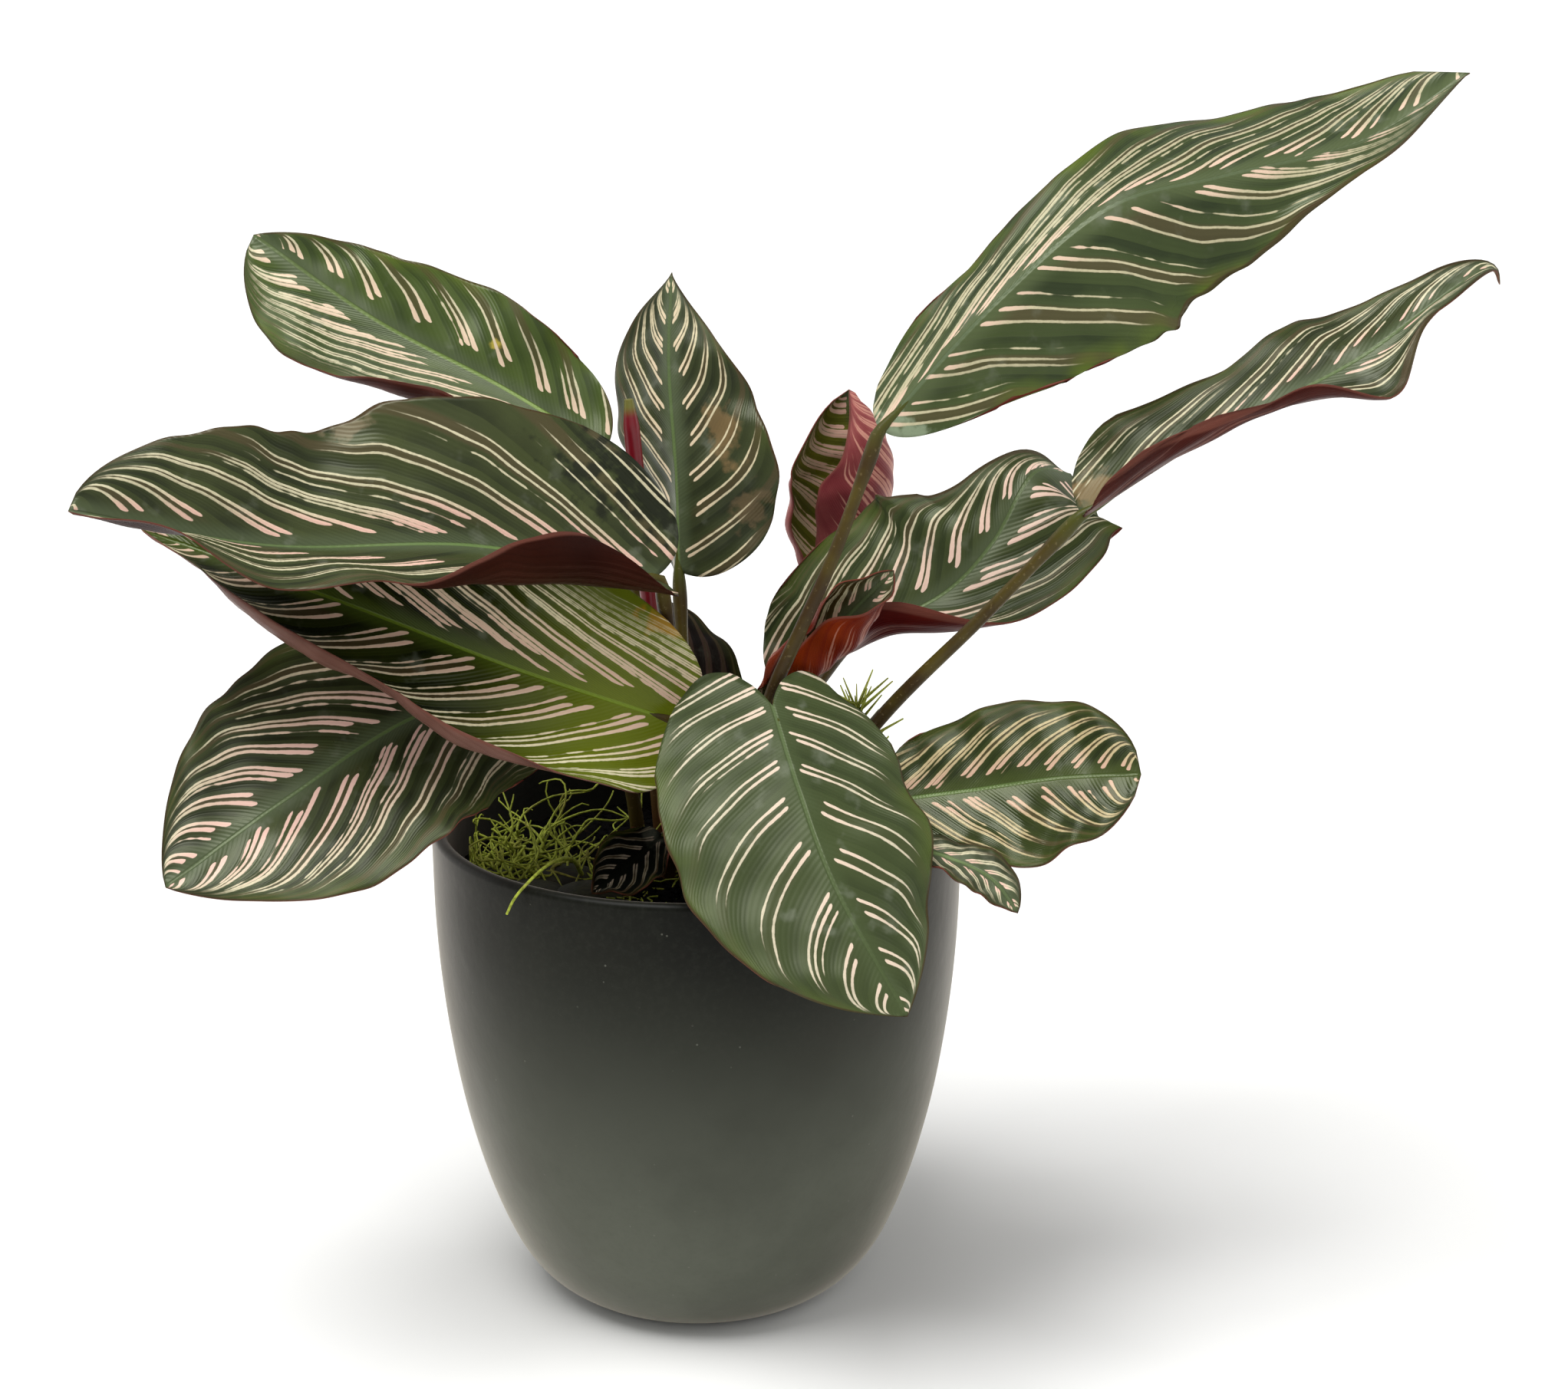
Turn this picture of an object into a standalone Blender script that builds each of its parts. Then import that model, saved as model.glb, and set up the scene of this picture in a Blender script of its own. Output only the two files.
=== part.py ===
"""A pinstripe calathea in a tall charcoal pot.

Every leaf is a wavy blade on its own stalk.  The stalks stand in plain holes in the soil, close together
at the middle of the pot.  Lengths are in millimetres and angles in degrees until a mesh is written.
"""
import math
import random
from dataclasses import dataclass, field

import bmesh
import bpy
import numpy as np
from mathutils import Vector

MM = 0.001
WELD = 0.01
GAP = 0.3
SOIL_GAP = 0.45

# Pot: (height, outer radius) up its side, then its wall, floor, rim and the round corner inside.
POT_OUTLINE = [(0, 50), (2, 56), (8, 64), (18, 71.5), (32, 78), (50, 84.2), (75, 90.6),
               (100, 95), (125, 98), (150, 99.6), (178, 100)]
POT_RADIUS = 100
POT_HEIGHT = 186
POT_WALL = 5
POT_FLOOR = 8
INNER_CORNER = 58
INNER_HEIGHTS = (20, 50, 100, 150)
RIM_ROUND = POT_WALL/2
RIM_STEPS = 4
TURN_STEPS = 48

# Soil: a filled pot, a little higher round the stalks.
SOIL_EDGE = 161
SOIL_MIDDLE = 167
SOIL_TOP = [(0, SOIL_MIDDLE), (40, SOIL_MIDDLE - 0.5), (70, (SOIL_EDGE + SOIL_MIDDLE)/2), (94.5, SOIL_EDGE)]
HOLE_DEPTH = 22
HOLE_CLEARANCE = 0.6
HOLE_SIDES = 10

# Blades and stalks.
BLADE_THICK = 0.8
RIB_THICK = 2.0
BLADE_ROWS = 16
HALF_COLUMNS = 4
ROLLED_COLUMNS = 6
STALK_FOOT = 3.1
STALK_TOP = 2.1
KNEE_EXTRA = 0.5
KNEE_LENGTH = 16
STALK_STEP = 16
FOOT_HEIGHT = SOIL_MIDDLE - HOLE_DEPTH + 1.3
COLLAR = 2

# Moss: low mounds as (place on the soil, size), strands over them, and strands that cross the rim.
MOSS_LIFT = 0.3
MOSS_EDGE = 1.3
MOSS_MOUNDS = [((-64, -40), (19, 20, 9)), ((-48, -58), (22, 17, 8)), ((-74, -14), (13, 20, 7)),
               ((-40, -40), (14, 12, 9)), ((-22, -76), (17, 10, 6)), ((-50, -20), (13, 12, 8))]
MOSS_STRANDS = 6
STRAND_RADIUS = 1.1
STRAND_PIECES = 7
RIM_STRANDS = [[(-56, -50, 170), (-62, -62, 184), (-66, -70, 190), (-69, -76, 188), (-71, -79, 176), (-66, -82, 166)]]
TUFT_PLACE = (62, 57)
TUFT_CORE = 3
TUFT_HEIGHT = 36
TUFT_NEEDLES = 18
NEEDLE_RADIUS = 1.1

# Colours, linear.
LEAF_GREEN = (0.030, 0.075, 0.030, 1)
LEAF_DEEP = (0.020, 0.055, 0.024, 1)
LEAF_YOUNG = (0.30, 0.035, 0.030, 1)
STALK_OLIVE = (0.050, 0.045, 0.012, 1)
STALK_RED = (0.22, 0.02, 0.025, 1)
CHARCOAL = (0.045, 0.048, 0.046, 1)
SOIL_BLACK = (0.010, 0.008, 0.007, 1)
MOSS_GREEN = (0.20, 0.23, 0.03, 1)


@dataclass
class Half:
    """One half of a blade, from the midrib to its margin.  Keys run from the leaf's base to its tip."""
    width: tuple = (40,)
    widest: float = 0.42
    base: float = 0.72
    tip: float = 1.15
    lobe: float = 0.0
    fold: tuple = (10,)
    curl: tuple = (0,)
    power: float = 1.5


@dataclass
class Leaf:
    """A leaf: where its midrib runs, which way its upper face looks, its two halves and its stalk."""
    midrib: list
    face: tuple
    left: Half
    right: Half
    hole: tuple
    stalk: list = field(default_factory=list)
    sweep: float = 0.16
    wave: float = 2.0
    waves: float = 2.5
    phase: float = 0.0
    rolled: bool = False
    meet: tuple = (0.2, 1.0)


LEAVES = {
    "back_left": Leaf(
        midrib=[(-34, 22, 322), (-73, 42, 342), (-125, 62, 366), (-172, 78, 396)],
        face=(0, -0.85, 0.53),
        left=Half(width=(37, 37, 35, 34, 37), widest=0.6, tip=0.6, fold=(10, 10, 0, 0, 0),
                  curl=(120, 140, 120, 0, -20), power=2.5),
        right=Half(width=(31, 33, 28, 30), tip=0.9, curl=(10,)),
        hole=(-14, 14), stalk=[(-20, 24, 235), (-27, 26, 300)], wave=3, waves=3),
    "left": Leaf(
        midrib=[(-14, -30, 285), (-76, -44, 300), (-145, -62, 304), (-208, -80, 320)],
        face=(0, -0.8, 0.6),
        left=Half(width=(42,), widest=0.45, base=0.95, tip=0.9, lobe=0.05,
                  fold=(40, 32, 32, 50, 66, 60), curl=(150, 130, 20, 0, 0, 0), power=2),
        right=Half(width=(52, 54, 54, 44, 50, 56), widest=0.35, base=0.95, tip=0.6, lobe=0.05),
        hole=(-7, -6), stalk=[(-6, -12, 235), (-10, -24, 272)], wave=4, meet=(1.0, 1.0)),
    "upright": Leaf(
        midrib=[(-7, 25, 275), (-8, 32, 311), (-11, 50, 352), (-10, 66, 383)],
        face=(0, -0.95, 0.31),
        left=Half(width=(31,), widest=0.62, base=0.85, tip=1.3, lobe=0.03, fold=(-75, -62, -45, -40, -40)),
        right=Half(width=(40, 40, 36, 38, 44), widest=0.25, base=0.85, tip=1.4, lobe=0.03),
        hole=(-2, 12), stalk=[(-5, 17, 235)], sweep=0.12, meet=(1.4, 1.0)),
    "low_left_upper": Leaf(
        midrib=[(-9, -42, 236), (-60, -50, 256), (-120, -50, 280), (-195, -35, 304)],
        face=(0, -0.7, 0.7),
        left=Half(width=(48,), widest=0.3, base=0.95, lobe=0.06, fold=(0, 0, 10, 15, 20),
                  curl=(60, 130, 140, 140, 120), power=4),
        right=Half(width=(45,), widest=0.45, base=0.95, lobe=0.06, fold=(20,)),
        hole=(-10, -19), stalk=[(-6, -30, 210)], meet=(1.6, 1.0)),
    "low_left": Leaf(
        midrib=[(-47, -25, 243), (-94, -42, 239), (-140, -70, 216), (-180, -95, 191)],
        face=(-0.1, -0.75, 0.65),
        left=Half(width=(54,), widest=0.5, tip=0.9),
        right=Half(width=(50,), widest=0.4, tip=0.8),
        hole=(-20, -9), stalk=[(-28, -12, 215)]),
    "front": Leaf(
        midrib=[(29, -60, 246), (38, -90, 225), (50, -115, 199), (74, -138, 161)],
        face=(0, -0.85, 0.5),
        left=Half(width=(41,), widest=0.4, base=0.95, tip=0.95, lobe=0.14, fold=(-20, -20, -30)),
        right=Half(width=(49,), widest=0.3, base=0.95, tip=0.85, lobe=0.18, fold=(5,)),
        hole=(6, -17), stalk=[(9, -34, 205), (17, -50, 230)], meet=(-5.0, 3.8)),
    "low_right": Leaf(
        midrib=[(68, -55, 209), (100, -57, 214), (130, -62, 220), (158, -70, 224)],
        face=(0.1, -0.75, 0.65),
        left=Half(width=(30,), widest=0.5, tip=0.5),
        right=Half(width=(34,), widest=0.5, tip=0.55),
        hole=(25, -8), stalk=[(38, -28, 195)]),
    "small_right": Leaf(
        midrib=[(78, -84, 202), (90, -90, 200), (104, -97, 195), (113, -104, 185)],
        face=(0.1, -0.6, 0.8),
        left=Half(width=(9,), widest=0.5, tip=0.8),
        right=Half(width=(9,), widest=0.5, tip=0.8),
        hole=(17, -17), stalk=[(34, -40, 186), (58, -66, 199)], wave=1),
    "high_right": Leaf(
        midrib=[(67, -30, 339), (109, -22, 384), (149, -8, 415), (190, 8, 424), (244, 23, 436), (283, 35, 459)],
        face=(0, -0.7, 0.7),
        left=Half(width=(33, 31, 28, 44, 48, 48), widest=0.45, tip=0.6, fold=(-20,)),
        right=Half(width=(38, 48, 50, 37, 20, 18), widest=0.35, base=0.6, tip=1.1, fold=(-25, -25, -20)),
        hole=(9, -7), stalk=[(17, -20, 200), (24, -35, 226), (29, -41, 246), (38, -42, 267), (50, -40, 294)]),
    "far_right": Leaf(
        midrib=[(138, -38, 310), (175, -36, 334), (234, -20, 361), (286, -2, 392), (291, 2, 386)],
        face=(0, -0.7, 0.7),
        left=Half(width=(32, 25, 24, 31, 30, 30), base=0.95, fold=(0, -10, -15, -20, -20)),
        right=Half(width=(36, 23, 13, 26, 8, 16), fold=(55, 50, 45, 10, 30, 60),
                   curl=(150, 150, 60, 0, 0, 0), power=2),
        hole=(29, 3), stalk=[(70, -24, 233), (105, -32, 272)]),
    "mid_right": Leaf(
        midrib=[(29, 23, 229), (59, 20, 249), (95, 22, 268), (112, 28, 285), (129, 45, 309), (145, 64, 305)],
        face=(0, -0.7, 0.7),
        left=Half(width=(42, 46, 46, 30, 16), widest=0.4, tip=1.2, fold=(20, 10, 0)),
        right=Half(width=(38, 48, 34, 42, 60), widest=0.55, base=0.6, tip=0.4, fold=(45, 45, 10, 0, 0),
                   curl=(90, 80, 20, 0, 0)),
        hole=(15, 4), stalk=[(21, 12, 205)]),
    "back_right": Leaf(
        midrib=[(67, 90, 242), (69, 94, 273), (69, 97, 304), (59, 100, 332)],
        face=(0, -0.95, 0.31),
        left=Half(width=(50,), widest=0.55, tip=0.7, fold=(0,), curl=(120, 110, 90), power=2),
        right=Half(width=(58, 56, 52), widest=0.5, tip=0.8, fold=(0,), curl=(190, 185, 150), power=0.5),
        hole=(12, 16), stalk=[(34, 48, 205)], wave=1, rolled=True),
    "front_roll": Leaf(
        midrib=[(27, -18, 235), (44, -17, 255), (58, -15, 269), (73, -13, 284)],
        face=(0, -0.95, 0.31),
        left=Half(width=(21,), fold=(10,), curl=(120, 110, 60), power=1),
        right=Half(width=(34,), fold=(10,), curl=(190, 180, 60), power=1),
        hole=(19, -5), stalk=[(22, -10, 205)], wave=1, rolled=True),
    "low_back": Leaf(
        midrib=[(10, 22, 202), (-4, 45, 224), (-26, 75, 239), (-52, 105, 238)],
        face=(0, -0.2, 0.98),
        left=Half(width=(24,)),
        right=Half(width=(24,)),
        hole=(4, 24), stalk=[]),
    "inner_small": Leaf(
        midrib=[(-11, -45, 193), (-24, -54, 184), (-36, -60, 176)],
        face=(0, -0.6, 0.8),
        left=Half(width=(13,)),
        right=Half(width=(13,)),
        hole=(-3, -29), stalk=[(-5, -37, 184)], wave=1),
}

# The newest leaf, still a thin closed roll.
SPEAR_ROUTE = [(-9, 3, 170), (-14, 6, 230), (-18, 8, 273), (-22, 10, 319), (-24, 10, 343)]
SPEAR_RADIUS = 3.2
SPEAR_PIECES = 10


def smooth_through(points, samples=240):
    """Points evenly spaced along a smooth curve through the given ones."""
    given = np.array(points, float)
    if len(given) < 3:
        return given[0] + (given[-1] - given[0])*np.linspace(0, 1, samples)[:, None]
    given = np.vstack([2*given[0] - given[1], given, 2*given[-1] - given[-2]])
    knots = np.concatenate([[0], np.cumsum(np.linalg.norm(np.diff(given, axis=0), axis=1)**0.5)])
    pieces = []
    for i in range(1, len(given) - 2):
        k0, k1, k2, k3 = knots[i-1:i+3]
        k = np.linspace(k1, k2, 60, endpoint=False)[:, None]
        a1 = (k1-k)/(k1-k0)*given[i-1] + (k-k0)/(k1-k0)*given[i]
        a2 = (k2-k)/(k2-k1)*given[i] + (k-k1)/(k2-k1)*given[i+1]
        a3 = (k3-k)/(k3-k2)*given[i+1] + (k-k2)/(k3-k2)*given[i+2]
        b1 = (k2-k)/(k2-k0)*a1 + (k-k0)/(k2-k0)*a2
        b2 = (k3-k)/(k3-k1)*a2 + (k-k1)/(k3-k1)*a3
        pieces.append((k2-k)/(k2-k1)*b1 + (k-k1)/(k2-k1)*b2)
    line = np.vstack(pieces + [given[-2][None]])
    run = np.concatenate([[0], np.cumsum(np.linalg.norm(np.diff(line, axis=0), axis=1))])
    places = np.linspace(0, run[-1], samples)
    return np.stack([np.interp(places, run, line[:, axis]) for axis in range(3)], -1)


def keyed(keys, share):
    """The value at a share of the blade's length, from evenly spaced keys."""
    values = np.array(keys, float)
    if len(values) == 1:
        return np.full_like(share, values[0])
    place = np.clip(share, 0, 1)*(len(values) - 1)
    index = np.clip(place.astype(int), 0, len(values) - 2)
    between = place - index
    eased = (between*between*(3 - 2*between) + between)/2
    return values[index]*(1 - eased) + values[index+1]*eased


def outline(half, share):
    """Half width of the flat blade, as a share of its greatest."""
    near = 1 - (1 - half.base)*np.clip((half.widest - share)/half.widest, 0, 1)**2
    beyond = np.clip(share - half.widest, 0, None)/(1 - half.widest)
    return np.where(share < half.widest, near, np.clip(1 - beyond**2, 0, 1)**half.tip)


def unit(vectors):
    return vectors/np.linalg.norm(vectors, axis=-1, keepdims=True)


def half_blade(leaf, half, sign, rows, columns):
    """Upper-face points of one half: rows follow the side veins, columns run out from the midrib."""
    line = smooth_through(leaf.midrib)
    length = np.linalg.norm(np.diff(line, axis=0), axis=1).sum()
    heading = unit(np.gradient(line, axis=0))
    shares = np.linspace(0, 1, len(line))
    vein = np.linspace(0, 1, rows + 1)[:, None]*np.ones((1, columns + 1))
    across = np.linspace(0, 1, columns + 1)[None]*np.ones((rows + 1, 1))
    bow = (1 - np.sqrt(1 - (0.97*across)**2))/(1 - math.sqrt(1 - 0.97**2))
    back = half.lobe*np.sin(np.pi*across**0.8)*np.clip(1 - vein/0.35, 0, None)**2
    along = vein + leaf.sweep*(1 - vein)*bow - back
    out = across*outline(half, vein)*keyed(half.width, along)
    held = np.clip(along, 0, 1)
    spine = np.stack([np.interp(held, shares, line[:, axis]) for axis in range(3)], -1)
    ahead = unit(np.stack([np.interp(held, shares, heading[:, axis]) for axis in range(3)], -1))
    spine = spine + ahead*((along - held)*length)[..., None]
    up = np.array(leaf.face, float)
    up = unit(up - (ahead @ up)[..., None]*ahead)
    side = sign*np.cross(ahead, up)
    slope = np.radians(keyed(half.fold, held) + keyed(half.curl, held)*across**half.power)
    reach = np.zeros_like(out)
    rise = np.zeros_like(out)
    for j in range(1, columns + 1):
        step = out[:, j] - out[:, j-1]
        angle = (slope[:, j] + slope[:, j-1])/2 if j > 1 else slope[:, j]
        reach[:, j] = reach[:, j-1] + step*np.cos(angle)
        rise[:, j] = rise[:, j-1] + step*np.sin(angle)
    points = spine + side*reach[..., None] + up*rise[..., None]
    outward = -side*np.sin(slope)[..., None] + up*np.cos(slope)[..., None]
    turn = leaf.waves*along + leaf.phase + 0.37*(sign > 0)
    ripple = leaf.wave*across**2*np.sin(2*np.pi*turn)*np.clip(4*(1 - vein), 0, 1)
    return points + outward*ripple[..., None]


def whole_blade(leaf, rows, columns):
    """Both halves side by side, from the left margin to the right one."""
    left = half_blade(leaf, leaf.left, -1, rows, columns)
    right = half_blade(leaf, leaf.right, 1, rows, columns)
    return np.concatenate([left[:, ::-1], right[:, 1:]], axis=1)


def new_material(name, colour, roughness):
    material = bpy.data.materials.new(name)
    material.use_nodes = True
    shader = material.node_tree.nodes["Principled BSDF"]
    shader.inputs["Base Color"].default_value = colour
    shader.inputs["Roughness"].default_value = roughness
    material.diffuse_color = colour
    return material


def clear_scene():
    for thing in list(bpy.data.objects):
        bpy.data.objects.remove(thing, do_unlink=True)


def new_collection(name):
    collection = bpy.data.collections.new(name)
    bpy.context.scene.collection.children.link(collection)
    return collection


def keep(thing, name, collection, material=None):
    """Name an object, give it its material and move it to its collection."""
    thing.name = name
    thing.data.name = name
    for old in list(thing.users_collection):
        old.objects.unlink(thing)
    collection.objects.link(thing)
    if material:
        thing.data.materials.clear()
        thing.data.materials.append(material)
    return thing


def metres(points):
    """Vectors in metres from points in millimetres."""
    return [Vector(point)*MM for point in np.array(points, float).reshape(-1, 3).tolist()]


def as_mesh(thing, name, collection, material):
    """Turn a curve object into a closed mesh object."""
    evaluated = thing.evaluated_get(bpy.context.evaluated_depsgraph_get())
    mesh = bpy.data.meshes.new_from_object(evaluated)
    solid = bpy.data.objects.new(name, mesh)
    solid.matrix_world = thing.matrix_world.copy()
    solid.data.materials.clear()
    bpy.data.objects.remove(thing, do_unlink=True)
    shell = bmesh.new()
    shell.from_mesh(mesh)
    bmesh.ops.remove_doubles(shell, verts=shell.verts, dist=WELD*MM)
    bmesh.ops.recalc_face_normals(shell, faces=shell.faces)
    shell.to_mesh(mesh)
    shell.free()
    return keep(solid, name, collection, material)


def tube(name, route, radii, collection, sides=2):
    """A round stalk or strand along a route, with its own radius at each point."""
    curve = bpy.data.curves.new(name, "CURVE")
    curve.dimensions = "3D"
    curve.bevel_depth = MM
    curve.bevel_resolution = sides
    curve.use_fill_caps = True
    spline = curve.splines.new("POLY")
    spline.points.add(len(route) - 1)
    for point, place, radius in zip(spline.points, metres(route), radii):
        point.co = (*place, 1)
        point.radius = radius
    thing = bpy.data.objects.new(name, curve)
    collection.objects.link(thing)
    return thing


def turned(name, profile, collection, material):
    """A turned solid from (radius, height) points that run down its outer side."""
    mesh = bpy.data.meshes.new(name)
    points = [(radius*MM, 0, height*MM) for radius, height in profile]
    mesh.from_pydata(points, [(i, i + 1) for i in range(len(points) - 1)], [])
    thing = bpy.data.objects.new(name, mesh)
    collection.objects.link(thing)
    mesh.materials.append(material)
    screw = thing.modifiers.new("Turn", "SCREW")
    screw.steps = TURN_STEPS
    screw.render_steps = TURN_STEPS
    screw.use_merge_vertices = True
    screw.merge_threshold = WELD*MM
    screw.use_smooth_shade = True
    return thing


def inner_radius(height):
    heights = [point[0] for point in POT_OUTLINE]
    radii = [point[1] for point in POT_OUTLINE]
    return float(np.interp(height, heights, radii)) - POT_WALL


def make_pot(collection):
    """One thrown shell: inside floor, inner wall, rounded rim, outer wall and flat base."""
    inside = [(0, POT_FLOOR), (INNER_CORNER, POT_FLOOR)]
    inside += [(inner_radius(height), height) for height in INNER_HEIGHTS]
    rim = []
    for step in range(RIM_STEPS + 1):
        angle = math.pi*step/RIM_STEPS
        radius = POT_RADIUS - RIM_ROUND - RIM_ROUND*math.cos(angle)
        rim.append((radius, POT_HEIGHT - RIM_ROUND + RIM_ROUND*math.sin(angle)))
    outside = [(radius, height) for height, radius in reversed(POT_OUTLINE)]
    profile = inside + rim + outside + [(0, 0)]
    return turned("pot", profile, collection, new_material("Charcoal glaze", CHARCOAL, 0.45))


def make_soil(collection, cutters):
    """The soil that fills the pot, with a plain hole for each stalk."""
    side = [(inner_radius(height) - SOIL_GAP, height) for height in reversed(INNER_HEIGHTS)]
    floor = [(INNER_CORNER - SOIL_GAP, POT_FLOOR + GAP), (0, POT_FLOOR + GAP)]
    profile = SOIL_TOP + side + floor
    soil = turned("soil", profile, collection, new_material("Potting soil", SOIL_BLACK, 0.95))
    feet = [leaf.hole for leaf in LEAVES.values()] + [SPEAR_ROUTE[0][:2]]
    for number, foot in enumerate(feet):
        bpy.ops.mesh.primitive_cylinder_add(
            vertices=HOLE_SIDES, radius=(STALK_FOOT + HOLE_CLEARANCE)*MM, depth=2*HOLE_DEPTH*MM,
            location=(foot[0]*MM, foot[1]*MM, SOIL_MIDDLE*MM))
        cutter = keep(bpy.context.object, f"hole_{number}", cutters)
        cutter.hide_render = True
        cutter.display_type = "WIRE"
    cut = soil.modifiers.new("Holes", "BOOLEAN")
    cut.operation = "DIFFERENCE"
    cut.operand_type = "COLLECTION"
    cut.collection = cutters
    return soil


def make_blade(name, leaf, collection, material):
    """A flat grid bent to the leaf's form, given its thickness downwards and a stout rib."""
    half = ROLLED_COLUMNS if leaf.rolled else HALF_COLUMNS
    points = whole_blade(leaf, BLADE_ROWS, half)
    rows, columns = points.shape[:2]
    bpy.ops.mesh.primitive_grid_add(x_subdivisions=columns - 1, y_subdivisions=rows - 1, size=1)
    blade = keep(bpy.context.object, f"blade_{name}", collection, material)
    places = metres(points)
    for vertex in blade.data.vertices:
        column = round((vertex.co.x + 0.5)*(columns - 1))
        row = round((vertex.co.y + 0.5)*(rows - 1))
        vertex.co = places[row*columns + column]
    rib = blade.vertex_groups.new(name="rib")
    for vertex in blade.data.vertices:
        column = vertex.index % columns
        rib.add([vertex.index], 1.0 if column == half and vertex.index < columns*(rows - 3) else 0.0, "REPLACE")
    sheet = bmesh.new()
    sheet.from_mesh(blade.data)
    bmesh.ops.remove_doubles(sheet, verts=sheet.verts, dist=WELD*MM)
    bmesh.ops.triangulate(sheet, faces=sheet.faces, quad_method="SHORT_EDGE")
    sheet.to_mesh(blade.data)
    sheet.free()
    blade.data.shade_smooth()
    skin = blade.modifiers.new("Thickness", "SOLIDIFY")
    skin.thickness = RIB_THICK*MM
    skin.offset = -1
    skin.vertex_group = "rib"
    skin.thickness_vertex_group = BLADE_THICK/RIB_THICK
    return blade


def stalk_route(leaf):
    """From the bottom of its hole, straight up out of the soil, then in a smooth curve to the blade."""
    line = smooth_through(leaf.midrib)
    ahead = unit(line[4] - line[0])
    up = np.array(leaf.face, float)
    up = unit(up - (ahead @ up)*ahead)
    foot = np.array([*leaf.hole, 0], float)
    last = np.array(leaf.stalk[-1] if leaf.stalk else foot + [0, 0, SOIL_MIDDLE], float)
    crossing = np.linalg.norm(np.cross(unit(line[0] - last), ahead))
    before, under = leaf.meet
    end = line[0] - ahead*(before + (STALK_TOP + KNEE_EXTRA)*crossing) - up*under
    bottom = foot + [0, 0, FOOT_HEIGHT]
    collar = foot + [0, 0, SOIL_MIDDLE + COLLAR]
    free = smooth_through([collar, *leaf.stalk, end])
    length = np.linalg.norm(np.diff(free, axis=0), axis=1).sum()
    count = max(3, round(length/STALK_STEP))
    picks = [round(i*(len(free) - 1)/count) for i in range(count + 1)]
    return np.vstack([bottom[None], free[picks]]), length


def make_stalk(name, leaf, collection, material):
    """A leaf stalk, thinner upwards, with the swollen knee just below the blade."""
    route, length = stalk_route(leaf)
    run = np.concatenate([[0], np.cumsum(np.linalg.norm(np.diff(route, axis=0), axis=1))])
    share = run/run[-1]
    radii = STALK_FOOT + (STALK_TOP - STALK_FOOT)*share
    knee = np.clip(1 - np.abs(run - run[-1] + KNEE_LENGTH/2)/KNEE_LENGTH, 0, 1)
    radii = radii + KNEE_EXTRA*knee*(length > 3*KNEE_LENGTH)
    return as_mesh(tube(name, route, radii, collection), f"stalk_{name}", collection, material)


def make_spear(collection):
    """The newest leaf: a thin red roll, a little open at its top."""
    line = smooth_through(SPEAR_ROUTE)
    picks = [round(i*(len(line) - 1)/SPEAR_PIECES) for i in range(SPEAR_PIECES + 1)]
    foot = np.array([*SPEAR_ROUTE[0][:2], FOOT_HEIGHT], float)
    route = np.vstack([foot[None], line[picks]])
    radii = [STALK_FOOT] + [SPEAR_RADIUS - 0.9*abs(0.75 - i/SPEAR_PIECES) for i in range(SPEAR_PIECES + 1)]
    colour = new_material("Young rolled leaf", STALK_RED, 0.4)
    return as_mesh(tube("spear_roll", route, radii, collection), "spear", collection, colour)


def union(base, strands, name):
    """Fuse a core and its strands into one closed body."""
    group = bpy.data.collections.new(f"{name}_strands")
    bpy.context.scene.collection.children.link(group)
    for strand in strands:
        keep(strand, strand.name, group)
    join = base.modifiers.new("Fuse", "BOOLEAN")
    join.operation = "UNION"
    join.operand_type = "COLLECTION"
    join.collection = group
    evaluated = base.evaluated_get(bpy.context.evaluated_depsgraph_get())
    fused = bpy.data.meshes.new_from_object(evaluated)
    base.modifiers.clear()
    base.data = fused
    fused.name = name
    for strand in list(group.objects):
        bpy.data.objects.remove(strand, do_unlink=True)
    bpy.data.collections.remove(group)
    return base


def on_soil(place, lift=0.0):
    """A place just clear of the soil, lifted by a height."""
    x, y = place
    radii, heights = zip(*SOIL_TOP)
    return (x, y, float(np.interp(math.hypot(x, y), radii, heights)) + GAP + lift)


def make_mound(name, place, size, lift, collection):
    """A low cushion whose underside lies flat, just above the soil."""
    bpy.ops.mesh.primitive_ico_sphere_add(subdivisions=2, radius=1)
    mound = keep(bpy.context.object, name, collection)
    for vertex in mound.data.vertices:
        x = place[0] + vertex.co.x*size[0]
        y = place[1] + vertex.co.y*size[1]
        bump = 1 + 0.2*math.sin(0.9*x)*math.cos(0.8*y)
        rise = max(MOSS_EDGE + vertex.co.z*size[2]*bump, 0)
        vertex.co = Vector((x, y, on_soil((x, y), lift + rise)[2]))*MM
    return mound


def make_strand(name, route, collection):
    line = smooth_through(route)
    picks = [round(i*(len(line) - 1)/STRAND_PIECES) for i in range(STRAND_PIECES + 1)]
    radii = [STRAND_RADIUS*(1 - 0.5*i/STRAND_PIECES) for i in range(STRAND_PIECES + 1)]
    return as_mesh(tube(name, line[picks], radii, collection, sides=0), name, collection, None)


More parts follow.
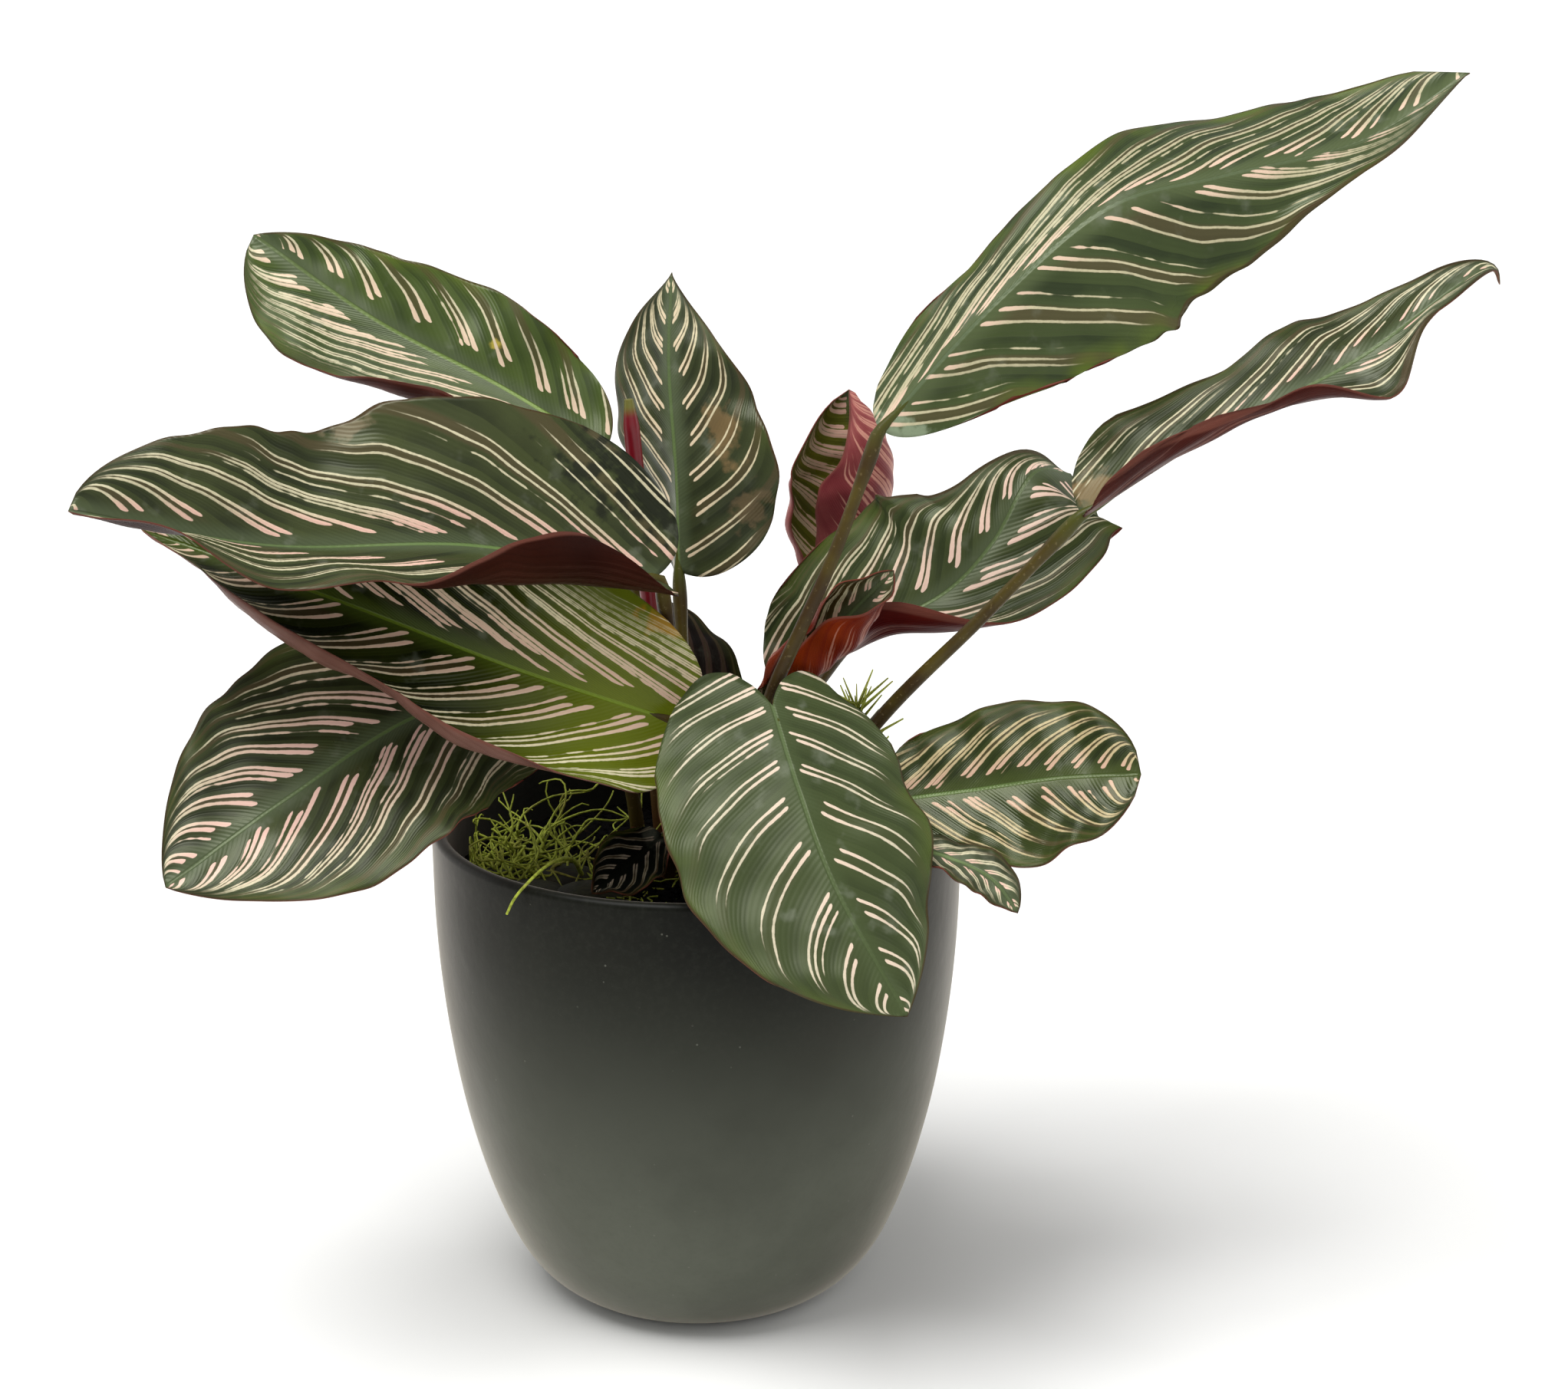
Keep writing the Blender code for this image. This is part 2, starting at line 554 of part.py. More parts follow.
def make_moss(collection, material):
    """Sheet moss heaped on the soil, with curled strands standing out of it and one over the rim."""
    rng = random.Random(11)
    mounds = []
    for number, (place, size) in enumerate(MOSS_MOUNDS):
        mounds.append(make_mound(f"mound_{number}", place, size, MOSS_LIFT*(1 + number), collection))
    strands = []
    for number in range(MOSS_STRANDS):
        (x, y), (wide, deep, high) = MOSS_MOUNDS[number % len(MOSS_MOUNDS)]
        turn = rng.uniform(0, 2*math.pi)
        start = (x + 0.4*wide*math.cos(turn), y + 0.4*deep*math.sin(turn))
        curl = turn + rng.uniform(1.2, 2.4)
        middle = (x + 0.9*wide*math.cos(curl), y + 0.9*deep*math.sin(curl))
        finish = (x + 0.5*wide*math.cos(curl + 1.1), y + 0.5*deep*math.sin(curl + 1.1))
        rise = high + rng.uniform(2.5, 6)
        between = [(start[0] + middle[0])/2, (start[1] + middle[1])/2]
        route = [on_soil(start, 2), on_soil(between, rise), on_soil(middle, 0.8*rise), on_soil(finish, 2)]
        strands.append(make_strand(f"strand_{number}", route, collection))
    for number, route in enumerate(RIM_STRANDS):
        strands.append(make_strand(f"rim_strand_{number}", route, collection))
    moss = union(mounds[0], mounds[1:] + strands, "moss")
    moss.name = "moss"
    moss.data.materials.clear()
    moss.data.materials.append(material)
    return moss


def make_tuft(collection, material):
    """An upright tuft of needle leaves at the back right: a slim core with needles sunk into it."""
    rng = random.Random(5)
    foot = Vector(on_soil(TUFT_PLACE, MOSS_LIFT))*MM
    bpy.ops.mesh.primitive_cone_add(
        vertices=6, radius1=TUFT_CORE*MM, radius2=0.3*TUFT_CORE*MM, depth=TUFT_HEIGHT*MM,
        location=foot + Vector((0, 0, TUFT_HEIGHT*MM/2)))
    core = keep(bpy.context.object, "moss_tuft", collection, material)
    bake_place(core)
    needles = []
    for number in range(TUFT_NEEDLES):
        share = 0.35 + 0.6*number/TUFT_NEEDLES
        turn = 2.4*number
        lean = math.radians(rng.uniform(25, 65))
        aim = Vector((math.cos(turn)*math.sin(lean), math.sin(turn)*math.sin(lean), math.cos(lean)))
        length = rng.uniform(13, 21)
        root = foot + Vector((0, 0, share*TUFT_HEIGHT*MM))
        bpy.ops.mesh.primitive_cone_add(
            vertices=4, radius1=NEEDLE_RADIUS*MM, radius2=0.25*NEEDLE_RADIUS*MM, depth=length*MM,
            location=root + aim*(length*MM/2), rotation=aim.to_track_quat("Z", "Y").to_euler())
        needle = keep(bpy.context.object, f"needle_{number}", collection)
        bake_place(needle)
        needles.append(needle)
    return union(core, needles, "moss_tuft")


def bake_place(thing):
    """Move an object's place into its mesh."""
    bpy.context.view_layer.update()
    thing.data.transform(thing.matrix_world)
    thing.matrix_world.identity()


def build():
    clear_scene()
    plant = new_collection("potted_calathea")
    cutters = new_collection("cutters")
    make_pot(plant)
    make_soil(plant, cutters)
    green = new_material("Leaf blade", LEAF_GREEN, 0.35)
    deep = new_material("Shaded leaf blade", LEAF_DEEP, 0.4)
    young = new_material("Young leaf blade", LEAF_YOUNG, 0.4)
    olive = new_material("Leaf stalk", STALK_OLIVE, 0.4)
    blades = {"front_roll": young, "low_back": deep, "inner_small": deep}
    for name, leaf in LEAVES.items():
        make_blade(name, leaf, plant, blades.get(name, green))
        make_stalk(name, leaf, plant, olive)
    make_spear(plant)
    moss = new_material("Dried moss", MOSS_GREEN, 0.9)
    make_moss(plant, moss)
    make_tuft(plant, moss)


build()
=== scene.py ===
"""Looks of a potted pinstripe calathea: striped blades, stalks, moss, soil and a charcoal pot.

The leaf forms repeat the model's own table, in millimetres, with a much finer mesh.  Each blade carries its
side veins as a UV map, and the stripes, pleats and margins are painted along them.
"""

import math
from dataclasses import dataclass, field

import bmesh
import bpy
import numpy as np
from mathutils import Matrix, Vector

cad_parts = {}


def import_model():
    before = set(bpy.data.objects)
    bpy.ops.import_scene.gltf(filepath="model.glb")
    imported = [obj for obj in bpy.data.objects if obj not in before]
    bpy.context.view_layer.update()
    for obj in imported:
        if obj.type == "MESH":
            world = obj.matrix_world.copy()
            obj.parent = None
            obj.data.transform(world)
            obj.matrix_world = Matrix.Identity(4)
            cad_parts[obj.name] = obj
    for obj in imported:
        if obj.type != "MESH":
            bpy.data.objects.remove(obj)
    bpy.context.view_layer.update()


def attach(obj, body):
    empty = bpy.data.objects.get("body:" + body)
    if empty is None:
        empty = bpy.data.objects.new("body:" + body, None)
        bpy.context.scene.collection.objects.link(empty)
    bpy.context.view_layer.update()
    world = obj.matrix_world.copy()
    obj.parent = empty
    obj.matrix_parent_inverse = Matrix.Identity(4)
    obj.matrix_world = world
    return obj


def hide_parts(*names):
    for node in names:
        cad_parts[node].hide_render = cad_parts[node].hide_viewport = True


MM = 0.001
WELD = 0.01

# Pot and soil, as in the model.
POT_OUTLINE = [(0, 50), (2, 56), (8, 64), (18, 71.5), (32, 78), (50, 84.2), (75, 90.6),
               (100, 95), (125, 98), (150, 99.6), (178, 100)]
POT_RADIUS = 100
POT_HEIGHT = 186
POT_WALL = 5
POT_FLOOR = 8
INNER_CORNER = 58
RIM_ROUND = POT_WALL/2
POT_SIDES = 160
RIM_STEPS = 12
SOIL_EDGE = 161
SOIL_MIDDLE = 167
SOIL_TOP = [(0, SOIL_MIDDLE), (40, SOIL_MIDDLE - 0.5), (70, (SOIL_EDGE + SOIL_MIDDLE)/2), (94.5, SOIL_EDGE)]
SOIL_RIM = 94
SOIL_SIDES = 120
SOIL_LUMP = 0.9
SOIL_GAP = 0.45
HOLE_DEPTH = 22

# Kinds of node, and the settings that several nodes share.
MATH = "ShaderNodeMath"
VECTOR_MATH = "ShaderNodeVectorMath"
RANGE = "ShaderNodeMapRange"
MIX = "ShaderNodeMix"
NOISE = "ShaderNodeTexNoise"
CHANCE = "ShaderNodeTexWhiteNoise"
COORDINATES = "ShaderNodeTexCoord"
UV = "ShaderNodeUVMap"
AXES = "ShaderNodeSeparateXYZ"
JOIN = "ShaderNodeCombineXYZ"
SPLIT = "ShaderNodeSeparateColor"
BUMP = "ShaderNodeBump"
RANDOM = "FunctionNodeRandomValue"
SMOOTH = {"interpolation_type": "SMOOTHSTEP"}
SEEDED = {"noise_dimensions": "4D"}
TIMES = {"operation": "MULTIPLY"}
TIMES_PLUS = {"operation": "MULTIPLY_ADD"}
PLUS = {"operation": "ADD"}
LESS = {"operation": "SUBTRACT"}

# Blades: their thickness and rib, the mesh's steps, and the box that the model's blades fill.
BLADE_THICK = 0.5
RIB_THICK = 1.9
RIB_WIDE = 1.7
RIB_DEPTH = 1.4
RIB_STEPS = (8, 16, 26)
ROW_STEP = 2.0
COLUMN_STEP = 1.7
CURVE_STEPS = 60
BLADE_BOX = ((-207.9, -137.9, 0), (290.7, 104.4, 458.8))

# How side veins bow forward, how far a base lobe reaches, and how much later the right half ripples.
VEIN_BOW = 0.97
LOBE_REACH = 0.35
HALF_SHIFT = 0.37

# What makes a blade uneven: one pleat in each stripe group, its height, where its top lies and the pitch from
# which it is full; the fine pleats; the margin; and three waves, each with its height, its turns along the
# blade, its lean across it and its share of the seed.
PLEAT = 0.45
PLEAT_TOP = 0.35
PLEAT_PITCH = 8
FINE_PLEATS = 9
MARGIN_WAVE = 34
MARGIN_UNEVEN = 0.012
FLUTTER = ((0.9, 9, 2.1, 1.7), (0.75, 17, -3.3, 2.9), (0.55, 31, 4.0, 0.7))

# Finding the vein through a point takes this many nudges.  Groups are numbered on past the given ones, their
# pitch in millimetres is kept within limits, and each half counts from a number of its own, so that no two
# groups share their chances.
VEIN_LOOPS = 40
NUDGE = 0.4
SPARE_GROUPS = 9
PITCH_LIMITS = (0.3, 60)
COUNT_FROM = 50
COUNT_APART = 40

# The tint of a highlight on either face, and a pale painted sheen in patches on the upper one.
CUTICLE = "#e2e6cc"
UNDER_GLOSS = "#e0a890"
PAINTED_SHEEN = "#7b8070"

# The UV maps that a blade carries, each with what its two axes hold, in millimetres for out, edge and pitch.
UV_MAPS = {"veins": ("number", "side"), "reach": ("out", "edge"), "grain": ("pitch", "along")}

# Stripes: where in its group the first one lies, and how far on the next ones follow.
FIRST_STRIPE = 0.27
NEXT_STRIPE = 0.17
NEXT_CHANCE = 0.12

# Stalks: their radii in the soil, below the blade and at the rib's end, the swollen knee, the step between
# their points, how far they stand up straight from the soil, and where they begin.
STALK_FOOT = 3.1
STALK_TOP = 2.1
STALK_END = 0.4
KNEE_EXTRA = 0.5
KNEE_LENGTH = 16
STALK_STEP = 3
COLLAR = 2
FOOT_HEIGHT = SOIL_MIDDLE - HOLE_DEPTH + 1.3


@dataclass
class Half:
    """One half of a blade, from the midrib to its margin.  Keys run from the leaf's base to its tip.

    The veins are given by how steeply they leave the midrib and how far they close on the margin, both at
    the base and at the tip.  The groups are a count, or the share of the length where each begins.
    """
    width: tuple = (40,)
    widest: float = 0.42
    base: float = 0.72
    tip: float = 1.15
    lobe: float = 0.0
    fold: tuple = (10,)
    curl: tuple = (0,)
    power: float = 1.5
    veins: tuple = (4.2, 1.2, 0.97, 0.97)
    groups: tuple = (8,)
    start: float = 0.13


@dataclass
class Leaf:
    """A leaf: where its midrib runs, which way its upper face looks, its two halves and its stalk."""
    midrib: list
    face: tuple
    left: Half
    right: Half
    hole: tuple
    stalk: list = field(default_factory=list)
    sweep: float = 0.16
    wave: float = 2.0
    waves: float = 2.5
    meet: tuple = (0.2, 1.0)


LEAVES = {
    "back_left": Leaf(
        midrib=[(-34, 22, 322), (-73, 42, 342), (-125, 62, 366), (-172, 78, 396)],
        face=(0, -0.85, 0.53),
        left=Half(width=(37, 37, 35, 34, 37), widest=0.6, tip=0.6, fold=(10, 10, 0, 0, 0),
                  curl=(120, 140, 120, 0, -20), power=2.5, veins=(0.6, 0.6, 0.75, 0.9),
                  groups=(7,), start=0.15),
        right=Half(width=(31, 33, 28, 30), tip=0.9, curl=(10,), veins=(6, 1.6, 0.6, 0.85),
                   groups=(0.03, 0.12, 0.22, 0.32, 0.42, 0.57, 0.69, 0.82), start=0.26),
        hole=(-14, 14), stalk=[(-20, 24, 235), (-27, 26, 300)], wave=3, waves=3),
    "left": Leaf(
        midrib=[(-14, -30, 285), (-76, -44, 300), (-145, -62, 304), (-208, -80, 320)],
        face=(0, -0.8, 0.6),
        left=Half(width=(42,), widest=0.45, base=0.95, tip=0.9, lobe=0.05,
                  fold=(40, 32, 32, 50, 66, 60), curl=(150, 130, 20, 0, 0, 0), power=2,
                  veins=(1.2, 0.7, 0.8, 0.9), groups=(7,), start=0.2),
        right=Half(width=(52, 54, 54, 44, 50, 56), widest=0.35, base=0.95, tip=0.6, lobe=0.05,
                   veins=(1.35, 0.7, 0.55, 0.93),
                   groups=(0.07, 0.17, 0.30, 0.395, 0.54, 0.69, 0.82), start=0.1),
        hole=(-7, -6), stalk=[(-6, -12, 235), (-10, -24, 272)], wave=4, meet=(1.0, 1.0)),
    "upright": Leaf(
        midrib=[(-7, 25, 275), (-8, 32, 311), (-11, 50, 352), (-10, 66, 383)],
        face=(0, -0.95, 0.31),
        left=Half(width=(31,), widest=0.62, base=0.85, tip=1.3, lobe=0.03, fold=(-75, -62, -45, -40, -40),
                  veins=(4, 0.9, 0.85, 0.95), groups=(9,)),
        right=Half(width=(40, 40, 36, 38, 44), widest=0.25, base=0.85, tip=1.4, lobe=0.03,
                   veins=(6.5, 1.1, 0.85, 0.95), groups=(9,)),
        hole=(-2, 12), stalk=[(-5, 17, 235)], sweep=0.12, meet=(1.4, 1.0)),
    "low_left_upper": Leaf(
        midrib=[(-9, -42, 236), (-60, -50, 256), (-120, -50, 280), (-195, -35, 304)],
        face=(0, -0.7, 0.7),
        left=Half(width=(48,), widest=0.3, base=0.95, lobe=0.06, fold=(0, 0, 10, 15, 20),
                  curl=(60, 130, 140, 140, 120), power=4, veins=(3, 1.5, 0.9, 0.9),
                  groups=(-0.22, -0.12, -0.02, 0.08, 0.18, 0.29, 0.41, 0.54, 0.68, 0.82), start=0.06),
        right=Half(width=(45,), widest=0.45, base=0.95, lobe=0.06, fold=(20,), veins=(1.05, 0.5, 0.75, 0.8),
                   groups=(0.04, 0.15, 0.26, 0.38, 0.5, 0.63, 0.77), start=0.1),
        hole=(-10, -19), stalk=[(-6, -30, 210)], meet=(1.6, 1.0)),
    "low_left": Leaf(
        midrib=[(-47, -25, 243), (-94, -42, 239), (-140, -70, 216), (-180, -95, 191)],
        face=(-0.1, -0.75, 0.65),
        left=Half(width=(54,), widest=0.5, tip=0.9, veins=(3, 0.8, 0.95, 0.97),
                  groups=(0.1, 0.23, 0.33, 0.42, 0.55, 0.68, 0.8), start=0.1),
        right=Half(width=(50,), widest=0.4, tip=0.8, groups=(0.12, 0.27, 0.36, 0.47, 0.56, 0.66, 0.76, 0.87)),
        hole=(-20, -9), stalk=[(-28, -12, 215)]),
    "front": Leaf(
        midrib=[(29, -60, 246), (38, -90, 225), (50, -115, 199), (74, -138, 161)],
        face=(0, -0.85, 0.5),
        left=Half(width=(41,), widest=0.4, base=0.95, tip=0.95, lobe=0.14, fold=(-20, -20, -30),
                  veins=(8, 1.2, 0.9, 0.97), groups=(-0.03, 0.06, 0.17, 0.28, 0.42, 0.58, 0.74), start=0.1),
        right=Half(width=(49,), widest=0.3, base=0.95, tip=0.85, lobe=0.18, fold=(5,),
                   veins=(8, 1.2, 0.9, 0.97), groups=(-0.03, 0.05, 0.15, 0.26, 0.39, 0.56, 0.7), start=0.1),
        hole=(6, -17), stalk=[(9, -34, 205), (17, -50, 230)], meet=(-5.0, 3.8)),
    "low_right": Leaf(
        midrib=[(68, -55, 209), (100, -57, 214), (130, -62, 220), (158, -70, 224)],
        face=(0.1, -0.75, 0.65),
        left=Half(width=(30,), widest=0.5, tip=0.5, groups=(9,)),
        right=Half(width=(34,), widest=0.5, tip=0.55, groups=(0.02, 0.13, 0.25, 0.38, 0.52, 0.66)),
        hole=(25, -8), stalk=[(38, -28, 195)]),
    "small_right": Leaf(
        midrib=[(78, -84, 202), (90, -90, 200), (104, -97, 195), (113, -104, 185)],
        face=(0.1, -0.6, 0.8),
        left=Half(width=(9,), widest=0.5, tip=0.8, groups=(6,)),
        right=Half(width=(9,), widest=0.5, tip=0.8, groups=(6,)),
        hole=(17, -17), stalk=[(34, -40, 186), (58, -66, 199)], wave=1),
    "high_right": Leaf(
        midrib=[(67, -30, 339), (109, -22, 384), (149, -8, 415), (190, 8, 424), (244, 23, 436),
                (283, 35, 459)],
        face=(0, -0.7, 0.7),
        left=Half(width=(33, 31, 28, 44, 48, 48), widest=0.45, tip=0.6, fold=(-20,),
                  veins=(1.6, 0.7, 0.6, 0.8),
                  groups=(0.04, 0.13, 0.22, 0.33, 0.46, 0.6, 0.73, 0.84), start=0.08),
        right=Half(width=(38, 48, 50, 37, 20, 18), widest=0.35, base=0.6, tip=1.1, fold=(-25, -25, -20),
                   veins=(8, 0.7, 0.7, 0.9), groups=(0.07, 0.155, 0.265, 0.365, 0.51, 0.595, 0.69, 0.78),
                   start=0.02),
        hole=(9, -7), stalk=[(17, -20, 200), (24, -35, 226), (29, -41, 246), (38, -42, 267), (50, -40, 294)]),
    "far_right": Leaf(
        midrib=[(138, -38, 310), (175, -36, 334), (234, -20, 361), (286, -2, 392), (291, 2, 386)],
        face=(0, -0.7, 0.7),
        left=Half(width=(32, 25, 24, 31, 30, 30), base=0.95, fold=(0, -10, -15, -20, -20), groups=(6,)),
        right=Half(width=(36, 23, 13, 26, 8, 16), fold=(55, 50, 45, 10, 30, 60),
                   curl=(150, 150, 60, 0, 0, 0), power=2, groups=(6,)),
        hole=(29, 3), stalk=[(70, -24, 233), (105, -32, 272)]),
    "mid_right": Leaf(
        midrib=[(29, 23, 229), (59, 20, 249), (95, 22, 268), (112, 28, 285), (129, 45, 309), (145, 64, 305)],
        face=(0, -0.7, 0.7),
        left=Half(width=(42, 46, 46, 30, 16), widest=0.4, tip=1.2, fold=(20, 10, 0), groups=(9,)),
        right=Half(width=(38, 48, 34, 42, 60), widest=0.55, base=0.6, tip=0.4, fold=(45, 45, 10, 0, 0),
                   curl=(90, 80, 20, 0, 0), groups=(7,)),
        hole=(15, 4), stalk=[(21, 12, 205)]),
    "back_right": Leaf(
        midrib=[(67, 90, 242), (69, 94, 273), (69, 97, 304), (59, 100, 332)],
        face=(0, -0.95, 0.31),
        left=Half(width=(50,), widest=0.55, tip=0.7, fold=(0,), curl=(120, 110, 90), power=2),
        right=Half(width=(58, 56, 52), widest=0.5, tip=0.8, fold=(0,), curl=(190, 185, 150), power=0.5),
        hole=(12, 16), stalk=[(34, 48, 205)], wave=1),
    "front_roll": Leaf(
        midrib=[(27, -18, 235), (44, -17, 255), (58, -15, 269), (73, -13, 284)],
        face=(0, -0.95, 0.31),
        left=Half(width=(21,), fold=(10,), curl=(120, 110, 60), power=1),
        right=Half(width=(34,), fold=(10,), curl=(190, 180, 60), power=1),
        hole=(19, -5), stalk=[(22, -10, 205)], wave=1),
    "low_back": Leaf(
        midrib=[(10, 22, 202), (-4, 45, 224), (-26, 75, 239), (-52, 105, 238)],
        face=(0, -0.2, 0.98),
        left=Half(width=(24,)),
        right=Half(width=(24,)),
        hole=(4, 24), stalk=[]),
    "inner_small": Leaf(
        midrib=[(-11, -45, 193), (-24, -54, 184), (-36, -60, 176)],
        face=(0, -0.6, 0.8),
        left=Half(width=(13,), groups=(6,)),
        right=Half(width=(13,), groups=(6,)),
        hole=(-3, -29), stalk=[(-5, -37, 184)], wave=1),
}

# Moss: low mounds as (place on the soil, size), how much of their height shows, how far their foot and all
# the moss stand off the soil, the strands that cross the rim, and where the tuft stands.
MOSS_MOUNDS = [((-64, -40), (19, 20, 9)), ((-48, -58), (22, 17, 8)), ((-74, -14), (13, 20, 7)),
               ((-40, -40), (14, 12, 9)), ((-22, -76), (17, 10, 6)), ((-50, -20), (13, 12, 8))]
MOUND_SHARE = 0.7
MOUND_FOOT = 0.6
MOSS_LIFT = 0.3
RIM_STRANDS = [[(-42, -28, 172), (-44, -46, 184), (-49, -66, 190), (-55, -80, 189), (-61, -84, 183),
                (-64, -84, 177)]]
RIM_STRAND_RADII = (0.9, 0.45)
TUFT_PLACE = (62, 57)

# The studio: its floor in metres, the sky, and soft lights as (name, where from, strength, width in degrees).
FLOOR_SIZE = 400
FLOOR_WHITE = "#f2f2f0"
SKY = 0.32
SUNS = (("softbox", (-0.25, -0.22, 1.0), 3.0, 36), ("fill", (0.5, -1.0, 0.7), 0.4, 60),
        ("left", (-1.0, 0.35, 0.35), 0.6, 50), ("right", (1.0, 0.35, 0.35), 0.65, 50))

# The camera: where it stands in metres, its tilt in degrees, and its sensor and lens in millimetres.
CAMERA_PLACE = (0.033, -0.949, 0.500)
CAMERA_TILT = 74.3
SENSOR = 36
LENS = 60.4

# The newest leaf, still rolled.
SPEAR_ROUTE = [(-9, 3, 170), (-14, 6, 230), (-18, 8, 273), (-22, 10, 319), (-24, 10, 343)]
SPEAR_RADIUS = 3.2
SPEAR_TAPER = 0.9
SPEAR_WIDEST = 0.75
SPEAR_TIP = 0.95


@dataclass
class Paint:
    """The colours of one blade's two faces, and how its stripes lie.  Sizes are in millimetres.

    A mark is a patch given by its middle along and out, its reach both ways, its colour and its strength.
    """
    green: str = "#434b29"
    deep: str = "#262c17"
    heart: str = "#505b40"
    heart_wide: float = 7
    rib: str = "#6f8a4c"
    rib_shown: float = 0.6
    pink: str = "#e6bcab"
    cream: str = "#d6ceac"
    between: str = "#544530"
    edge: str = "#43301c"
    wide: float = 1.6
    thin: float = 0.95
    thirds: float = 0.35
    fresh: float = 0.3
    ends: tuple = (0.82, 1.02)
    lime: str = "#5f7019"
    lime_base: float = 0.0
    lime_edge: float = 0.3
    under: str = "#3f150d"
    under_light: str = "#5c241b"
    under_stripe: float = 0.15
    rough: float = 0.32
    ior: float = 1.4
    marks: tuple = ()
    seed: float = 0.0


PAINTS = {
    "back_left": Paint(green="#52632e", deep="#34421f", rib="#8fae4c", thirds=0.6, lime_edge=0.6, wide=2.0,
                       fresh=0.4, pink="#e6cbb0", marks=((0.36, 0.42, 0.02, 0.10, "#b8a545", 0.9),), seed=1),
    "left": Paint(green="#454d2a", deep="#252b17", thirds=0.3, fresh=0.26, wide=1.6, thin=0.9, rib_shown=0.8,
                  under="#200704", under_light="#301008", under_stripe=0.02, lime_edge=0.0,
                  marks=((0.52, 0.93, 0.05, 0.10, "#7b6d55", 0.7), (0.0, 0.75, 0.2, 0.5, "#12160d", 0.9)),
                  seed=2),
    "upright": Paint(green="#3f462a", deep="#252b19", thirds=0.2, pink="#dcc8a8", cream="#d8cca8",
                     wide=1.15, thin=0.8,
                     marks=((0.45, 0.55, 0.14, 0.2, "#75603f", 0.85), (0.2, 0.75, 0.08, 0.2, "#6b5a40", 0.7)),
                     seed=3),
    "low_left_upper": Paint(green="#2f3610", deep="#14190a", heart="#414f18", rib="#7f9a2c", thirds=0.8,
                            lime="#6f7b18", lime_base=0.75, rough=0.2, fresh=0.6, wide=1.8, pink="#e0bda6",
                            cream="#e8dfb8", marks=((0.04, 0.8, 0.06, 0.2, "#a8781c", 0.8),),
                            under="#5b3c33", under_light="#7a5a50", under_stripe=0.05, seed=4),
    "low_left": Paint(green="#434c2b", deep="#212615", thirds=0.8, fresh=0.75, pink="#ecc3b4",
                      wide=1.8, thin=1.05, seed=5),
    "front": Paint(green="#414c2b", deep="#323c20", heart="#404c2c", rib="#5d6f45", thirds=0.1, rough=0.42,
                   wide=1.3, thin=0.9, pink="#dcc6b2", cream="#d3c8ae", between="#414629",
                   fresh=0.5, seed=6),
    "low_right": Paint(green="#36401c", deep="#212910", heart="#404b22", thirds=0.6, wide=1.4, thin=0.9,
                       rough=0.26, pink="#cba790", cream="#c2b086", seed=7),
    "small_right": Paint(green="#3d412a", deep="#272b1a", wide=0.9, thin=0.6, seed=8),
    "high_right": Paint(green="#46532d", deep="#28331c", heart="#525e3c", heart_wide=9, rib="#66745a",
                        rib_shown=0.5, thirds=0.9, fresh=0.22, pink="#ddbfa8", cream="#bfb795", wide=1.6,
                        ends=(0.84, 1.0), lime_edge=0.7, marks=((0.0, 0.4, 0.05, 0.9, "#8d9c80", 0.8),),
                        seed=9),
    "far_right": Paint(green="#404829", deep="#272e18", under="#34100e", under_light="#54261f", thirds=0.8,
                       wide=1.1, thin=0.7, fresh=0.2,
                       marks=((0.05, -0.2, 0.06, 0.3, "#8c7350", 0.7),), seed=10),
    "mid_right": Paint(green="#49532e", deep="#2d371b", thirds=0.5, under="#35060a", under_light="#551109",
                       fresh=0.6, pink="#efcdbb", wide=2.0, lime_edge=0.6, seed=11),
    # Painted light: its olive green and pink are its own colours, painted lighter because its face is turned
    # from the lamps.
    "back_right": Paint(green="#7a7b2c", deep="#5c5f1e", under="#6c2c30", under_light="#b06560",
                        under_stripe=0.6, thirds=0.9, fresh=0.9, wide=2.6, thin=1.5,
                        pink="#ecbcaa", seed=12),
    "front_roll": Paint(green="#43330f", deep="#33270b", under="#4d0508", under_light="#7a2a02",
                        under_stripe=0.35, wide=1.4, thin=0.9, seed=13),
    # Painted shade: this leaf stands in shade at the back, so its faces, rib and stripes are painted near
    # black and dark brown.
    "low_back": Paint(green="#1f1511", deep="#140d0b", heart="#241612", rib="#3a1c16", pink="#53352c",
                      cream="#43332a", ior=1.15, under="#1c0c0b", under_light="#301918", seed=14),
    # Painted shade: this small leaf lies in shadow low in the pot, so its green is painted near black and
    # only its pale stripes show.
    "inner_small": Paint(green="#080a06", deep="#050604", heart="#080a06", rib="#11140c", pink="#8f8474",
                         cream="#807a66", wide=0.7, thin=0.5, rough=0.8, ior=1.15, seed=15),
}


def steps(line):
    """The length of each step along a line."""
    return np.linalg.norm(np.diff(line, axis=0), axis=1)


def run_along(line):
    """How far along its line each point lies."""
    return np.concatenate([[0], np.cumsum(steps(line))])


def points_at(places, known, points):
    """Points at some places along a line, whose own points lie at the known places."""
    return np.stack([np.interp(places, known, points[:, axis]) for axis in range(3)], -1)


